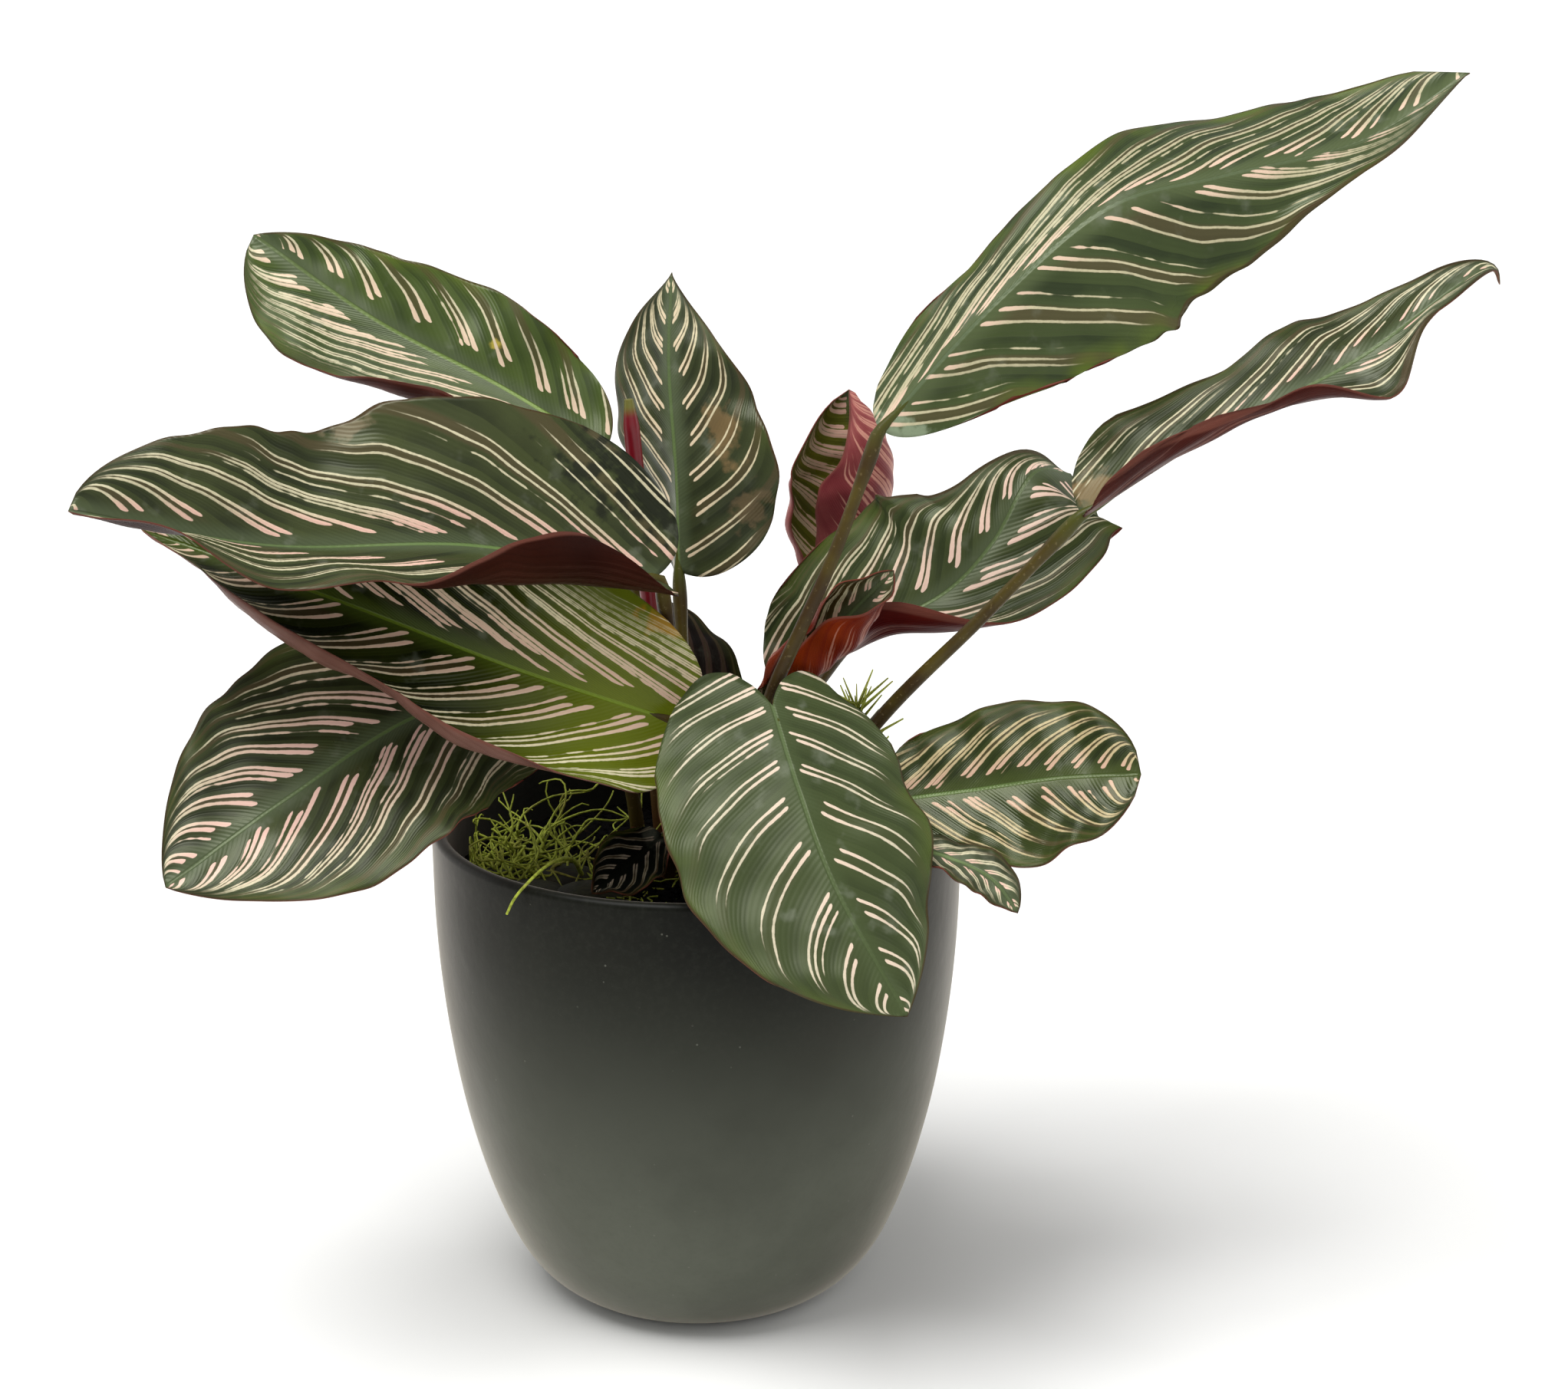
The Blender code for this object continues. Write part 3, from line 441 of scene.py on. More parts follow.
def smooth_through(points, samples=240):
    """Points evenly spaced along a smooth curve through the given ones."""
    given = np.array(points, float)
    if len(given) < 3:
        return given[0] + (given[-1] - given[0])*np.linspace(0, 1, samples)[:, None]
    given = np.vstack([2*given[0] - given[1], given, 2*given[-1] - given[-2]])
    knots = np.concatenate([[0], np.cumsum(steps(given)**0.5)])
    pieces = []
    for i in range(1, len(given) - 2):
        k0, k1, k2, k3 = knots[i-1:i+3]
        k = np.linspace(k1, k2, CURVE_STEPS, endpoint=False)[:, None]
        a1 = (k1-k)/(k1-k0)*given[i-1] + (k-k0)/(k1-k0)*given[i]
        a2 = (k2-k)/(k2-k1)*given[i] + (k-k1)/(k2-k1)*given[i+1]
        a3 = (k3-k)/(k3-k2)*given[i+1] + (k-k2)/(k3-k2)*given[i+2]
        b1 = (k2-k)/(k2-k0)*a1 + (k-k0)/(k2-k0)*a2
        b2 = (k3-k)/(k3-k1)*a2 + (k-k1)/(k3-k1)*a3
        pieces.append((k2-k)/(k2-k1)*b1 + (k-k1)/(k2-k1)*b2)
    line = np.vstack(pieces + [given[-2][None]])
    run = run_along(line)
    return points_at(np.linspace(0, run[-1], samples), run, line)


def keyed(keys, share):
    """The value at a share of the blade's length, from evenly spaced keys."""
    values = np.array(keys, float)
    if len(values) == 1:
        return np.full_like(share, values[0])
    place = np.clip(share, 0, 1)*(len(values) - 1)
    index = np.clip(place.astype(int), 0, len(values) - 2)
    between = place - index
    eased = (between*between*(3 - 2*between) + between)/2
    return values[index]*(1 - eased) + values[index+1]*eased


def outline(half, share):
    """Half width of the flat blade, as a share of its greatest."""
    near = 1 - (1 - half.base)*np.clip((half.widest - share)/half.widest, 0, 1)**2
    beyond = np.clip(share - half.widest, 0, None)/(1 - half.widest)
    return np.where(share < half.widest, near, np.clip(1 - beyond**2, 0, 1)**half.tip)


def unit(vectors):
    """The same directions, each one long."""
    return vectors/np.linalg.norm(vectors, axis=-1, keepdims=True)


def square_to(ahead, up):
    """The direction nearest to up that is square to the way ahead."""
    return unit(up - (ahead @ up)[..., None]*ahead)


def flutter(along, across, seed):
    """Small unevenness of a grown blade, in millimetres."""
    waves = sum(high*np.sin(turns*along + lean*across + own*seed) for high, turns, lean, own in FLUTTER)
    return waves*across*(1.5 - 0.5*across)


def uneven_margin(share, seed, length):
    """How much wider or narrower a grown margin is than its even outline, as a share of the width."""
    waves = length/MARGIN_WAVE
    first = np.sin(2*np.pi*waves*share + 2.3*seed)
    second = np.sin(2*np.pi*1.73*waves*share + 4.1*seed)
    uneven = MARGIN_UNEVEN*(first + 0.8*second*np.sin(3*share + seed))
    return uneven*np.clip(6*share, 0, 1)*np.clip(6*(1 - share), 0, 1)


def half_blade(leaf, half, sign, rows, columns, seed):
    """One half's upper points, which way they face, and how far along and out from the midrib they lie."""
    line = smooth_through(leaf.midrib)
    length = steps(line).sum()
    heading = unit(np.gradient(line, axis=0))
    shares = np.linspace(0, 1, len(line))
    vein = np.linspace(0, 1, rows + 1)[:, None]*np.ones((1, columns + 1))
    across = np.linspace(0, 1, columns + 1)[None]*np.ones((rows + 1, 1))
    bow = (1 - np.sqrt(1 - (VEIN_BOW*across)**2))/(1 - math.sqrt(1 - VEIN_BOW**2))
    back = half.lobe*np.sin(np.pi*across**0.8)*np.clip(1 - vein/LOBE_REACH, 0, None)**2
    along = vein + leaf.sweep*(1 - vein)*bow - back
    out = across*outline(half, vein)*keyed(half.width, along)
    out = out*(1 + uneven_margin(vein, seed + sign, length)*across**3)
    held = np.clip(along, 0, 1)
    ahead = unit(points_at(held, shares, heading))
    spine = points_at(held, shares, line) + ahead*((along - held)*length)[..., None]
    up = square_to(ahead, np.array(leaf.face, float))
    side = sign*np.cross(ahead, up)
    slope = np.radians(keyed(half.fold, held) + keyed(half.curl, held)*across**half.power)
    reach = np.zeros_like(out)
    rise = np.zeros_like(out)
    for j in range(1, columns + 1):
        step = out[:, j] - out[:, j-1]
        angle = (slope[:, j] + slope[:, j-1])/2
        reach[:, j] = reach[:, j-1] + step*np.cos(angle)
        rise[:, j] = rise[:, j-1] + step*np.sin(angle)
    points = spine + side*reach[..., None] + up*rise[..., None]
    outward = -side*np.sin(slope)[..., None] + up*np.cos(slope)[..., None]
    turn = leaf.waves*along + HALF_SHIFT*(sign > 0)
    ripple = leaf.wave*across**2*np.sin(2*np.pi*turn)*np.clip(4*(1 - vein), 0, 1)
    ripple = ripple + flutter(along, across, seed + sign)*np.clip(6*(1 - vein), 0, 1)
    return points + outward*ripple[..., None], outward, along, out


def vein_places(half, along, out):
    """Where the side vein through each point leaves the midrib.

    Veins arch forward and close on the margin.
    """
    margin_along = np.maximum.accumulate(along[:, -1])
    full = np.interp(along, margin_along, out[:, -1])
    b = np.clip(out/np.maximum(full, 0.5), 0, 1)
    ahead = np.clip(1 - along, 0.002, None)
    steep_base, steep_tip, close_base, close_tip = half.veins
    place = along.copy()
    for _ in range(VEIN_LOOPS):
        early = np.clip(1 - place, 0, 1.1)**3
        steep = steep_tip + (steep_base - steep_tip)*early
        left = np.clip(1 - (close_tip + (close_base - close_tip)*early)*b, 0.02, 1)
        place = (1 - NUDGE)*place + NUDGE*(1 - ahead/left**(1/steep))
    return place, b


def group_numbers(half, place):
    """Number the stripe groups from base to tip: a count of even groups, or the share where each begins."""
    if len(half.groups) == 1:
        return place*half.groups[0]
    shares = np.array(half.groups, float)
    first = shares[1] - shares[0]
    last = shares[-1] - shares[-2]
    numbers = [-SPARE_GROUPS, *range(len(shares)), len(shares) - 1 + SPARE_GROUPS]
    shares = np.concatenate([[shares[0] - SPARE_GROUPS*first], shares, [shares[-1] + SPARE_GROUPS*last]])
    return np.interp(place, shares, numbers)


def group_pitch(points, number):
    """Millimetres across one stripe group, square to its veins."""
    down, over = np.gradient(points, axis=0), np.gradient(points, axis=1)
    by_down, by_over = np.gradient(number, axis=0), np.gradient(number, axis=1)
    e, f, g = (down*down).sum(-1), (down*over).sum(-1), (over*over).sum(-1)
    area = np.maximum(e*g - f*f, 1e-4)
    slope = (by_down**2*g - 2*by_down*by_over*f + by_over**2*e)/area
    return np.clip(1/np.sqrt(np.maximum(slope, 1e-6)), *PITCH_LIMITS)


def linear(colour, alpha=1.0):
    """A linear colour from its #rrggbb form."""
    values = [int(colour[i:i+2], 16)/255 for i in (1, 3, 5)]
    return tuple(v/12.92 if v <= 0.04045 else ((v + 0.055)/1.055)**2.4 for v in values) + (alpha,)


def add(tree, kind, inputs=(), give=0, **settings):
    """Add a node with its settings, set or link its inputs in order or by name, and give back an output."""
    node = tree.nodes.new(kind)
    for name, value in settings.items():
        setattr(node, name, value)
    for name, value in inputs.items() if isinstance(inputs, dict) else enumerate(inputs):
        if isinstance(value, bpy.types.NodeSocket):
            tree.links.new(value, node.inputs[name])
        else:
            node.inputs[name].default_value = value
    return node if give is None else node.outputs[give]


def layered(tree, colour, *layers):
    """Colours laid over a first one, each by its own share."""
    colour = linear(colour)
    for share, over in layers:
        colour = add(tree, MIX, {0: share, 6: colour, 7: linear(over)}, 2, data_type="RGBA")
    return colour


def new_surface(name, rough, ior):
    """A material with a Principled shader, and the object's own coordinates."""
    material = bpy.data.materials.new(name)
    material.use_nodes = True
    shader = material.node_tree.nodes["Principled BSDF"]
    shader.inputs["Roughness"].default_value = rough
    shader.inputs["IOR"].default_value = ior
    return material, material.node_tree, shader, add(material.node_tree, COORDINATES, give="Object")


def dress(tree, shader, colour, height=None, depth=0.1):
    """Give a shader its colour and a relief of a depth in millimetres."""
    tree.links.new(colour, shader.inputs["Base Color"])
    if height:
        tree.links.new(add(tree, BUMP, {"Height": height, "Distance": depth*MM}), shader.inputs["Normal"])


def stripe_group():
    """Node group: one stripe, blunt and pink at its inner end, thinner and cream outwards, then a point."""
    tree = bpy.data.node_groups.new("One stripe", "ShaderNodeTree")
    for name in ("Across", "Middle", "Pitch", "Out", "Start", "Stop", "Wide", "Thin", "Rough edge", "Fresh"):
        tree.interface.new_socket(name, in_out="INPUT", socket_type="NodeSocketFloat")
    for name in ("Stripe", "Pink"):
        tree.interface.new_socket(name, in_out="OUTPUT", socket_type="NodeSocketFloat")
    given = tree.nodes.new("NodeGroupInput").outputs
    away = add(tree, MATH, [given["Across"], given["Middle"]], **LESS)
    away = add(tree, MATH, [away], operation="ABSOLUTE")
    away = add(tree, MATH, [away, given["Pitch"], given["Rough edge"]], **TIMES_PLUS)
    grown = add(tree, MATH, [given["Out"], given["Start"]], **LESS)
    width = add(tree, RANGE, [grown, 0, 0.3, given["Wide"], given["Thin"]], **SMOOTH)
    blunt = add(tree, MATH, [add(tree, RANGE, [grown, 0, 0.02]), 0.5], operation="POWER")
    tail = add(tree, MATH, [given["Stop"], 0.25], **LESS)
    tail = add(tree, RANGE, [given["Out"], tail, given["Stop"], 1, 0])
    half = add(tree, MATH, [width, 0.5], **TIMES)
    for share in (blunt, tail):
        half = add(tree, MATH, [half, share], **TIMES)
    room = add(tree, MATH, [given["Pitch"], 0.09], **TIMES)
    half = add(tree, MATH, [half, room], operation="MINIMUM")
    inner = add(tree, MATH, [half, 0.18], **LESS)
    outer = add(tree, MATH, [half, 0.12], **PLUS)
    body = add(tree, RANGE, [away, inner, outer, 1, 0], **SMOOTH)
    shown = add(tree, RANGE, [half, 0.1, 0.3])
    body = add(tree, MATH, [body, shown], **TIMES)
    fresh = add(tree, RANGE, [grown, 0.03, given["Fresh"], 1, 0], **SMOOTH)
    add(tree, "NodeGroupOutput", [body, add(tree, MATH, [body, fresh], **TIMES)], None)
    return tree


def veined(tree, place, paint, line_group, starts):
    """What every leaf face is painted by: its UV maps, its stripes with their pink part, and fine pleats."""
    on = {name: add(tree, AXES, [add(tree, UV, uv_map=label)], axis)
          for label, names in UV_MAPS.items() for axis, name in enumerate(names)}
    on["share"] = add(tree, MATH, [on["side"]], operation="ABSOLUTE")
    on["start"] = add(tree, RANGE, [on["side"], -0.01, 0.01, *starts])
    drift = add(tree, NOISE, {"Vector": place, "W": paint.seed, "Scale": 1/(28*MM), "Detail": 1.0}, **SEEDED)
    drift = add(tree, MATH, [drift, 0.5], **LESS)
    number = add(tree, MATH, [drift, 0.16, on["number"]], **TIMES_PLUS)
    cell = add(tree, MATH, [number], operation="FLOOR")
    on["across"] = add(tree, MATH, [number, cell], **LESS)
    turns = add(tree, MATH, [on["across"], 2*math.pi*FINE_PLEATS], **TIMES)
    on["pleats"] = add(tree, MATH, [turns], operation="SINE")
    key = add(tree, MATH, [cell, 7.3*paint.seed], **PLUS)
    chances = add(tree, SPLIT, [add(tree, CHANCE, {"W": key}, "Color", noise_dimensions="1D")], None).outputs
    ragged = add(tree, NOISE, {"Vector": place, "Scale": 1/(2.5*MM), "Detail": 2.0})
    ragged = add(tree, RANGE, [ragged, 0.3, 0.7, -0.09, 0.09])
    broken = add(tree, NOISE, {"Vector": place, "Scale": 1/(8*MM), "Detail": 1.0})
    broken = add(tree, RANGE, [broken, 0.4, 0.5, 0.35, 1])
    # Two or three stripes in each group, each with its own ends.  The third is thinner, broken or missing.
    on["stripe"], on["pink"], middle = 0.0, 0.0, FIRST_STRIPE
    for turn in range(3):
        first, second, third = (chances[(turn + step) % 3] for step in range(3))
        if turn:
            middle = add(tree, MATH, [first, NEXT_CHANCE, middle], **TIMES_PLUS)
            middle = add(tree, MATH, [middle, NEXT_STRIPE], **PLUS)
        wide, thin = paint.wide, paint.thin
        if turn == 2:
            wide = add(tree, RANGE, [third, paint.thirds - 0.01, paint.thirds, 0.65*wide, 0])
            wide = add(tree, MATH, [wide, broken], **TIMES)
            thin = add(tree, MATH, [wide, 0.7], **TIMES)
        begin = add(tree, RANGE, [second, 0, 1, -0.05, 0.08])
        begin = add(tree, MATH, [begin, on["start"]], **PLUS)
        end = add(tree, RANGE, [third, 0, 1, *paint.ends])
        given = [on["across"], middle, on["pitch"], on["share"], begin, end, wide, thin, ragged, paint.fresh]
        line = add(tree, "ShaderNodeGroup", given, None, node_tree=line_group).outputs
        on["stripe"] = add(tree, MATH, [on["stripe"], line["Stripe"]], operation="MAXIMUM")
        on["pink"] = add(tree, MATH, [on["pink"], line["Pink"]], operation="MAXIMUM")
    return on


def upper_face(name, paint, line_group, starts):
    """Leaf blade from above, a satin cuticle: pleated green, striped, with a pale midrib and brown margin."""
    material, tree, shader, place = new_surface(f"Satin leaf {name}", paint.rough, paint.ior)
    on = veined(tree, place, paint, line_group, starts)
    cloud, patch, painted_sheen = (add(tree, NOISE, {"Vector": place, "W": paint.seed + more, "Scale": 1/(size*MM),
                                            "Detail": fine}, **SEEDED)
                          for more, size, fine in ((0, 30, 3.0), (5, 26, 2.0), (9, 11, 3.0)))
    # Clouds of darker green, deepest in the plain part of each group.
    plain = add(tree, RANGE, [on["across"], 0.62, 0.95], **SMOOTH)
    dark = add(tree, RANGE, [cloud, 0.25, 0.75, 0.1, 0.75])
    dark = add(tree, MATH, [dark, plain, dark], **TIMES_PLUS)
    # The strip between a pair of stripes is browner, and the band along the midrib greyer.
    paired = add(tree, RANGE, [on["across"], 0.2, 0.3], **SMOOTH)
    paired = add(tree, MATH, [paired, add(tree, RANGE, [on["across"], 0.5, 0.6, 0.55, 0], **SMOOTH)], **TIMES)
    past = add(tree, MATH, [on["share"], on["start"]], **LESS)
    paired = add(tree, MATH, [paired, add(tree, RANGE, [past, 0, 0.15])], **TIMES)
    heart = add(tree, RANGE, [on["out"], 0.15*paint.heart_wide, paint.heart_wide, 0.8, 0], **SMOOTH)
    # Lime patches along the margin and at the base, and a pale painted sheen in spots.
    rim = add(tree, RANGE, [on["share"], 0.8, 1.0, 0, paint.lime_edge])
    rim = add(tree, MATH, [rim, add(tree, RANGE, [patch, 0.4, 0.6], **SMOOTH)], **TIMES)
    base = add(tree, RANGE, [on["along"], 0.08, 0.42, paint.lime_base, 0], **SMOOTH)
    painted_sheen = add(tree, RANGE, [painted_sheen, 0.58, 0.72, 0, 0.35], **SMOOTH)
    painted_sheen = add(tree, MATH, [painted_sheen, add(tree, RANGE, [on["share"], 0.45, 0.8, 1, 0])], **TIMES)
    layers = [(dark, paint.deep), (paired, paint.between), (heart, paint.heart), (painted_sheen, PAINTED_SHEEN),
              (add(tree, MATH, [rim, base], operation="MAXIMUM"), paint.lime)]
    # Patches with ragged edges, each in its own colour.
    for middle_along, middle_side, long, wide, colour, strength in paint.marks:
        by_length, by_width = (
            add(tree, MATH, [add(tree, MATH, [on[way], middle], **LESS), reach], operation="DIVIDE")
            for way, middle, reach in (("along", middle_along, long), ("side", middle_side, wide)))
        away = add(tree, VECTOR_MATH, [add(tree, JOIN, [by_length, by_width])], "Value", operation="LENGTH")
        blotch = add(tree, NOISE, {"Vector": place, "Scale": 1/(6*MM), "Detail": 4.0})
        blotch = add(tree, MATH, [blotch, 2.2, away], **TIMES_PLUS)
        layers.append((add(tree, RANGE, [blotch, 1.6, 2.1, strength, 0], **SMOOTH), colour))
    # Finely mottled stripes, a pale midrib that fades to the tip, and a thin brown margin.
    speck = add(tree, NOISE, {"Vector": place, "Scale": 1/(1.2*MM), "Detail": 2.0})
    lines = add(tree, MATH, [on["stripe"], add(tree, RANGE, [speck, 0.3, 0.7, 0.82, 1.0])], **TIMES)
    rib = add(tree, RANGE, [on["out"], 0.35, 1.0, 1, 0], **SMOOTH)
    rib_shown = add(tree, RANGE, [on["along"], 0.2, 0.95, paint.rib_shown, 0.1])
    rib_shown = add(tree, MATH, [rib, rib_shown], **TIMES)
    margin = add(tree, RANGE, [on["edge"], 0.35, 0.8, 0.75, 0], **SMOOTH)
    layers += [(lines, paint.cream), (on["pink"], paint.pink), (rib_shown, paint.rib), (margin, paint.edge)]
    colour = layered(tree, paint.green, *layers)
    height = add(tree, MATH, [rib, -8.0, on["pleats"]], **TIMES_PLUS)
    dress(tree, shader, colour, height, 0.02)
    shader.inputs["Specular Tint"].default_value = linear(CUTICLE)
    gloss = add(tree, RANGE, [cloud, 0.3, 0.7, paint.rough - 0.08, paint.rough + 0.08])
    tree.links.new(gloss, shader.inputs["Roughness"])
    return material


def under_face(name, paint, line_group, starts):
    """Leaf blade from below, duller: maroon between raised veins, with the stripes showing through."""
    material, tree, shader, place = new_surface(f"Maroon underside {name}", paint.rough + 0.1, 1.24)
    on = veined(tree, place, paint, line_group, starts)
    cloud = add(tree, NOISE, {"Vector": place, "W": paint.seed + 2, "Scale": 1/(30*MM), "Detail": 3.0},
                **SEEDED)
    light = add(tree, RANGE, [cloud, 0.3, 0.75], **SMOOTH)
    bands = add(tree, RANGE, [on["across"], 0.55, 0.9, 0, 0.35], **SMOOTH)
    lines = add(tree, MATH, [on["stripe"], paint.under_stripe], **TIMES)
    rib = add(tree, RANGE, [on["out"], 0.8, 2.0, 0.6, 0], **SMOOTH)
    margin = add(tree, RANGE, [on["edge"], 0.4, 1.0, 0.6, 0], **SMOOTH)
    colour = layered(tree, paint.under, (light, paint.under_light), (bands, paint.under),
                     (lines, "#d09a86"), (rib, "#7a6438"), (margin, "#74463b"))
    dress(tree, shader, colour, on["pleats"], 0.03)
    shader.inputs["Specular Tint"].default_value = linear(UNDER_GLOSS)
    return material


def stalk_surface():
    """Leaf stalk, a smooth waxy skin: brown olive, redder near the soil, greener at the knee, fine flecks."""
    material, tree, shader, place = new_surface("Waxy leaf stalk", 0.4, 1.3)
    run = add(tree, "ShaderNodeAttribute", give="Fac", attribute_name="run")
    cloud = add(tree, NOISE, {"Vector": place, "Scale": 1/(16*MM), "Detail": 3.0})
    fleck = add(tree, NOISE, {"Vector": place, "Scale": 1/(1.4*MM), "Detail": 2.0})
    colour = layered(tree, "#382810",
                     (add(tree, RANGE, [cloud, 0.3, 0.7], **SMOOTH), "#4d4216"),
                     (add(tree, RANGE, [run, 0.82, 0.93], **SMOOTH), "#454a18"),
                     (add(tree, RANGE, [run, 0.1, 0.4, 0.6, 0], **SMOOTH), "#4d1f17"),
                     (add(tree, RANGE, [fleck, 0.62, 0.72, 0, 0.3], **SMOOTH), "#84744f"))
    dress(tree, shader, colour, fleck, 0.05)
    return material


def spear_surface():
    """The rolled young leaf, glossy: crimson with darker clouds, green at its very tip."""
    material, tree, shader, place = new_surface("Rolled young leaf", 0.33, 1.45)
    run = add(tree, "ShaderNodeAttribute", give="Fac", attribute_name="run")
    cloud = add(tree, NOISE, {"Vector": place, "Scale": 1/(9*MM), "Detail": 3.0})
    colour = layered(tree, "#760f1c",
                     (add(tree, RANGE, [cloud, 0.45, 0.75, 0, 0.7], **SMOOTH), "#3a0b10"),
                     (add(tree, RANGE, [run, 0.965, 0.99], **SMOOTH), "#6d6a2a"))
    dress(tree, shader, colour, cloud, 0.1)
    return material


def glaze_surface():
    """Glazed stoneware, matte charcoal: darker towards the rim as painted shade, clouded, finely mottled,
    sparse pale specks.

    The sheen is the pale veil that a matte glaze shows along its sides.
    """
    material, tree, shader, place = new_surface("Charcoal stoneware glaze", 0.38, 1.19)
    cloud = add(tree, NOISE, {"Vector": place, "Scale": 1/(90*MM), "Detail": 4.0, "Roughness": 0.6})
    warm = add(tree, NOISE, {"Vector": place, "W": 4.0, "Scale": 1/(60*MM), "Detail": 3.0}, **SEEDED)
    fine = add(tree, NOISE, {"Vector": place, "Scale": 1/(2.4*MM), "Detail": 3.0, "Roughness": 0.7})
    cells = add(tree, "ShaderNodeTexVoronoi", {"Vector": place, "Scale": 1/(5*MM)}, "Distance")
    thin_out = add(tree, NOISE, {"Vector": place, "W": 7.0, "Scale": 1/(16*MM), "Detail": 1.0}, **SEEDED)
    speck = add(tree, MATH, [add(tree, RANGE, [cells, 0.05, 0.10, 0.5, 0], **SMOOTH),
                             add(tree, RANGE, [thin_out, 0.55, 0.6], **SMOOTH)], **TIMES)
    height = add(tree, NOISE, {"Vector": place, "Scale": 1/(9*MM), "Detail": 4.0})
    # Painted shade and light: the charcoal goes near black towards the rim, where leaves shade the pot, and
    # lighter towards the foot, which the floor lights.
    low = add(tree, RANGE, [add(tree, AXES, [place], 2), 30*MM, 190*MM, 1.0, 0.0], **SMOOTH)
    colour = layered(tree, "#030402",
                     (low, "#585b50"),
                     (add(tree, RANGE, [cloud, 0.4, 0.7, 0, 0.3], **SMOOTH), "#25271f"),
                     (add(tree, RANGE, [warm, 0.5, 0.75, 0, 0.2], **SMOOTH), "#2e2622"),
                     (add(tree, RANGE, [fine, 0.4, 0.75, 0, 0.12], **SMOOTH), "#3c3e36"),
                     (speck, "#6f7066"))
    dress(tree, shader, colour, height, 0.12)
    shader.inputs["Sheen Weight"].default_value = 1.0
    shader.inputs["Sheen Roughness"].default_value = 0.33
    shader.inputs["Sheen Tint"].default_value = linear("#cfc6b8")
    tree.links.new(add(tree, RANGE, [cloud, 0.3, 0.7, 0.32, 0.44]), shader.inputs["Roughness"])
    return material


def soil_surface():
    """Potting soil, damp peat: nearly black crumbs with brown fibres."""
    material, tree, shader, place = new_surface("Damp peat soil", 0.9, 1.15)
    grain = add(tree, NOISE, {"Vector": place, "Scale": 1/(4*MM), "Detail": 5.0, "Roughness": 0.7})
    bits = add(tree, NOISE, {"Vector": place, "W": 2.0, "Scale": 1/(8*MM), "Detail": 3.0}, **SEEDED)
    colour = layered(tree, "#040303",
                     (add(tree, RANGE, [grain, 0.45, 0.85], **SMOOTH), "#120e0b"),
                     (add(tree, RANGE, [bits, 0.64, 0.7, 0, 0.4], **SMOOTH), "#33271b"))
    dress(tree, shader, colour, grain, 1.5)
    return material


def moss_surface(name, shade, light, dry):
    """Dried sheet moss: matte twisted fibres, yellow green with darker and straw-coloured stretches."""
    material, tree, shader, place = new_surface(name, 0.7, 1.4)
    cloud = add(tree, NOISE, {"Vector": place, "Scale": 1/(14*MM), "Detail": 3.0})
    fine = add(tree, NOISE, {"Vector": place, "Scale": 1/(1.6*MM), "Detail": 3.0})
    colour = layered(tree, light,
                     (add(tree, RANGE, [cloud, 0.5, 0.68], **SMOOTH), dry),
                     (add(tree, RANGE, [fine, 0.35, 0.75, 0, 0.7], **SMOOTH), shade))
    dress(tree, shader, colour, fine, 0.2)
    return material


def new_object(name, mesh, *materials):
    """Put a mesh with its materials into the scene."""
    thing = bpy.data.objects.new(name, mesh)
    bpy.context.scene.collection.objects.link(thing)
    for material in materials:
        mesh.materials.append(material)
    return thing


def finish_piece(thing, slot, *nodes):
    """Let a piece ride on the plant and stand for its nodes. Its slot is not used."""
    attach(thing, "root")
    if nodes:
        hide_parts(*nodes)
    return thing


def read_all(items, name, kind=int, width=1):
    """One property of every vertex, loop or face, as an array."""
    values = np.empty(len(items)*width, kind)
    items.foreach_get(name, values)
    return values.reshape(-1, width) if width > 1 else values


def new_tree(name, numbers):
    """A Geometry Nodes tree with a geometry, named numbers and a material for inputs."""
    tree = bpy.data.node_groups.new(name, "GeometryNodeTree")
    tree.interface.new_socket("Geometry", in_out="INPUT", socket_type="NodeSocketGeometry")
    for label, value in numbers.items():
        kind = "NodeSocketInt" if isinstance(value, int) else "NodeSocketFloat"
        tree.interface.new_socket(label, in_out="INPUT", socket_type=kind).default_value = value
    tree.interface.new_socket("Material", in_out="INPUT", socket_type="NodeSocketMaterial")
    tree.interface.new_socket("Geometry", in_out="OUTPUT", socket_type="NodeSocketGeometry")
    return tree, tree.nodes.new("NodeGroupInput").outputs


def finish_tree(tree, given, geometry, smooth=True):
    """Every tree's end: real geometry, its shading and its material."""
    geometry = add(tree, "GeometryNodeRealizeInstances", [geometry])
    geometry = add(tree, "GeometryNodeSetShadeSmooth", {"Geometry": geometry, "Shade Smooth": smooth})
    geometry = add(tree, "GeometryNodeSetMaterial", {"Geometry": geometry, "Material": given["Material"]})
    add(tree, "NodeGroupOutput", [geometry], None)
    return tree


def settle(thing):
    """Turn what an object's modifiers show into its own plain mesh."""
    evaluated = thing.evaluated_get(bpy.context.evaluated_depsgraph_get())
    mesh = bpy.data.meshes.new_from_object(evaluated)
    thing.modifiers.clear()
    thing.data = mesh
    return mesh


def grow(name, mesh, tree, **values):
    """A plain mesh object made by a Geometry Nodes tree from a mesh."""
    thing = new_object(name, mesh)
    modifier = thing.modifiers.new(tree.name, "NODES")
    modifier.node_group = tree
    for item in tree.interface.items_tree:
        if item.in_out == "INPUT" and item.name in values:
            modifier[item.identifier] = values[item.name]
    settle(thing).name = name
    return thing


def round_skin(tree, line, sides, radius, scale=1.0):
    """A line given a round section and closed ends."""
    ring = add(tree, "GeometryNodeCurvePrimitiveCircle", {"Resolution": sides, "Radius": radius})
    return add(tree, "GeometryNodeCurveToMesh",
               {"Curve": line, "Profile Curve": ring, "Scale": scale, "Fill Caps": True})


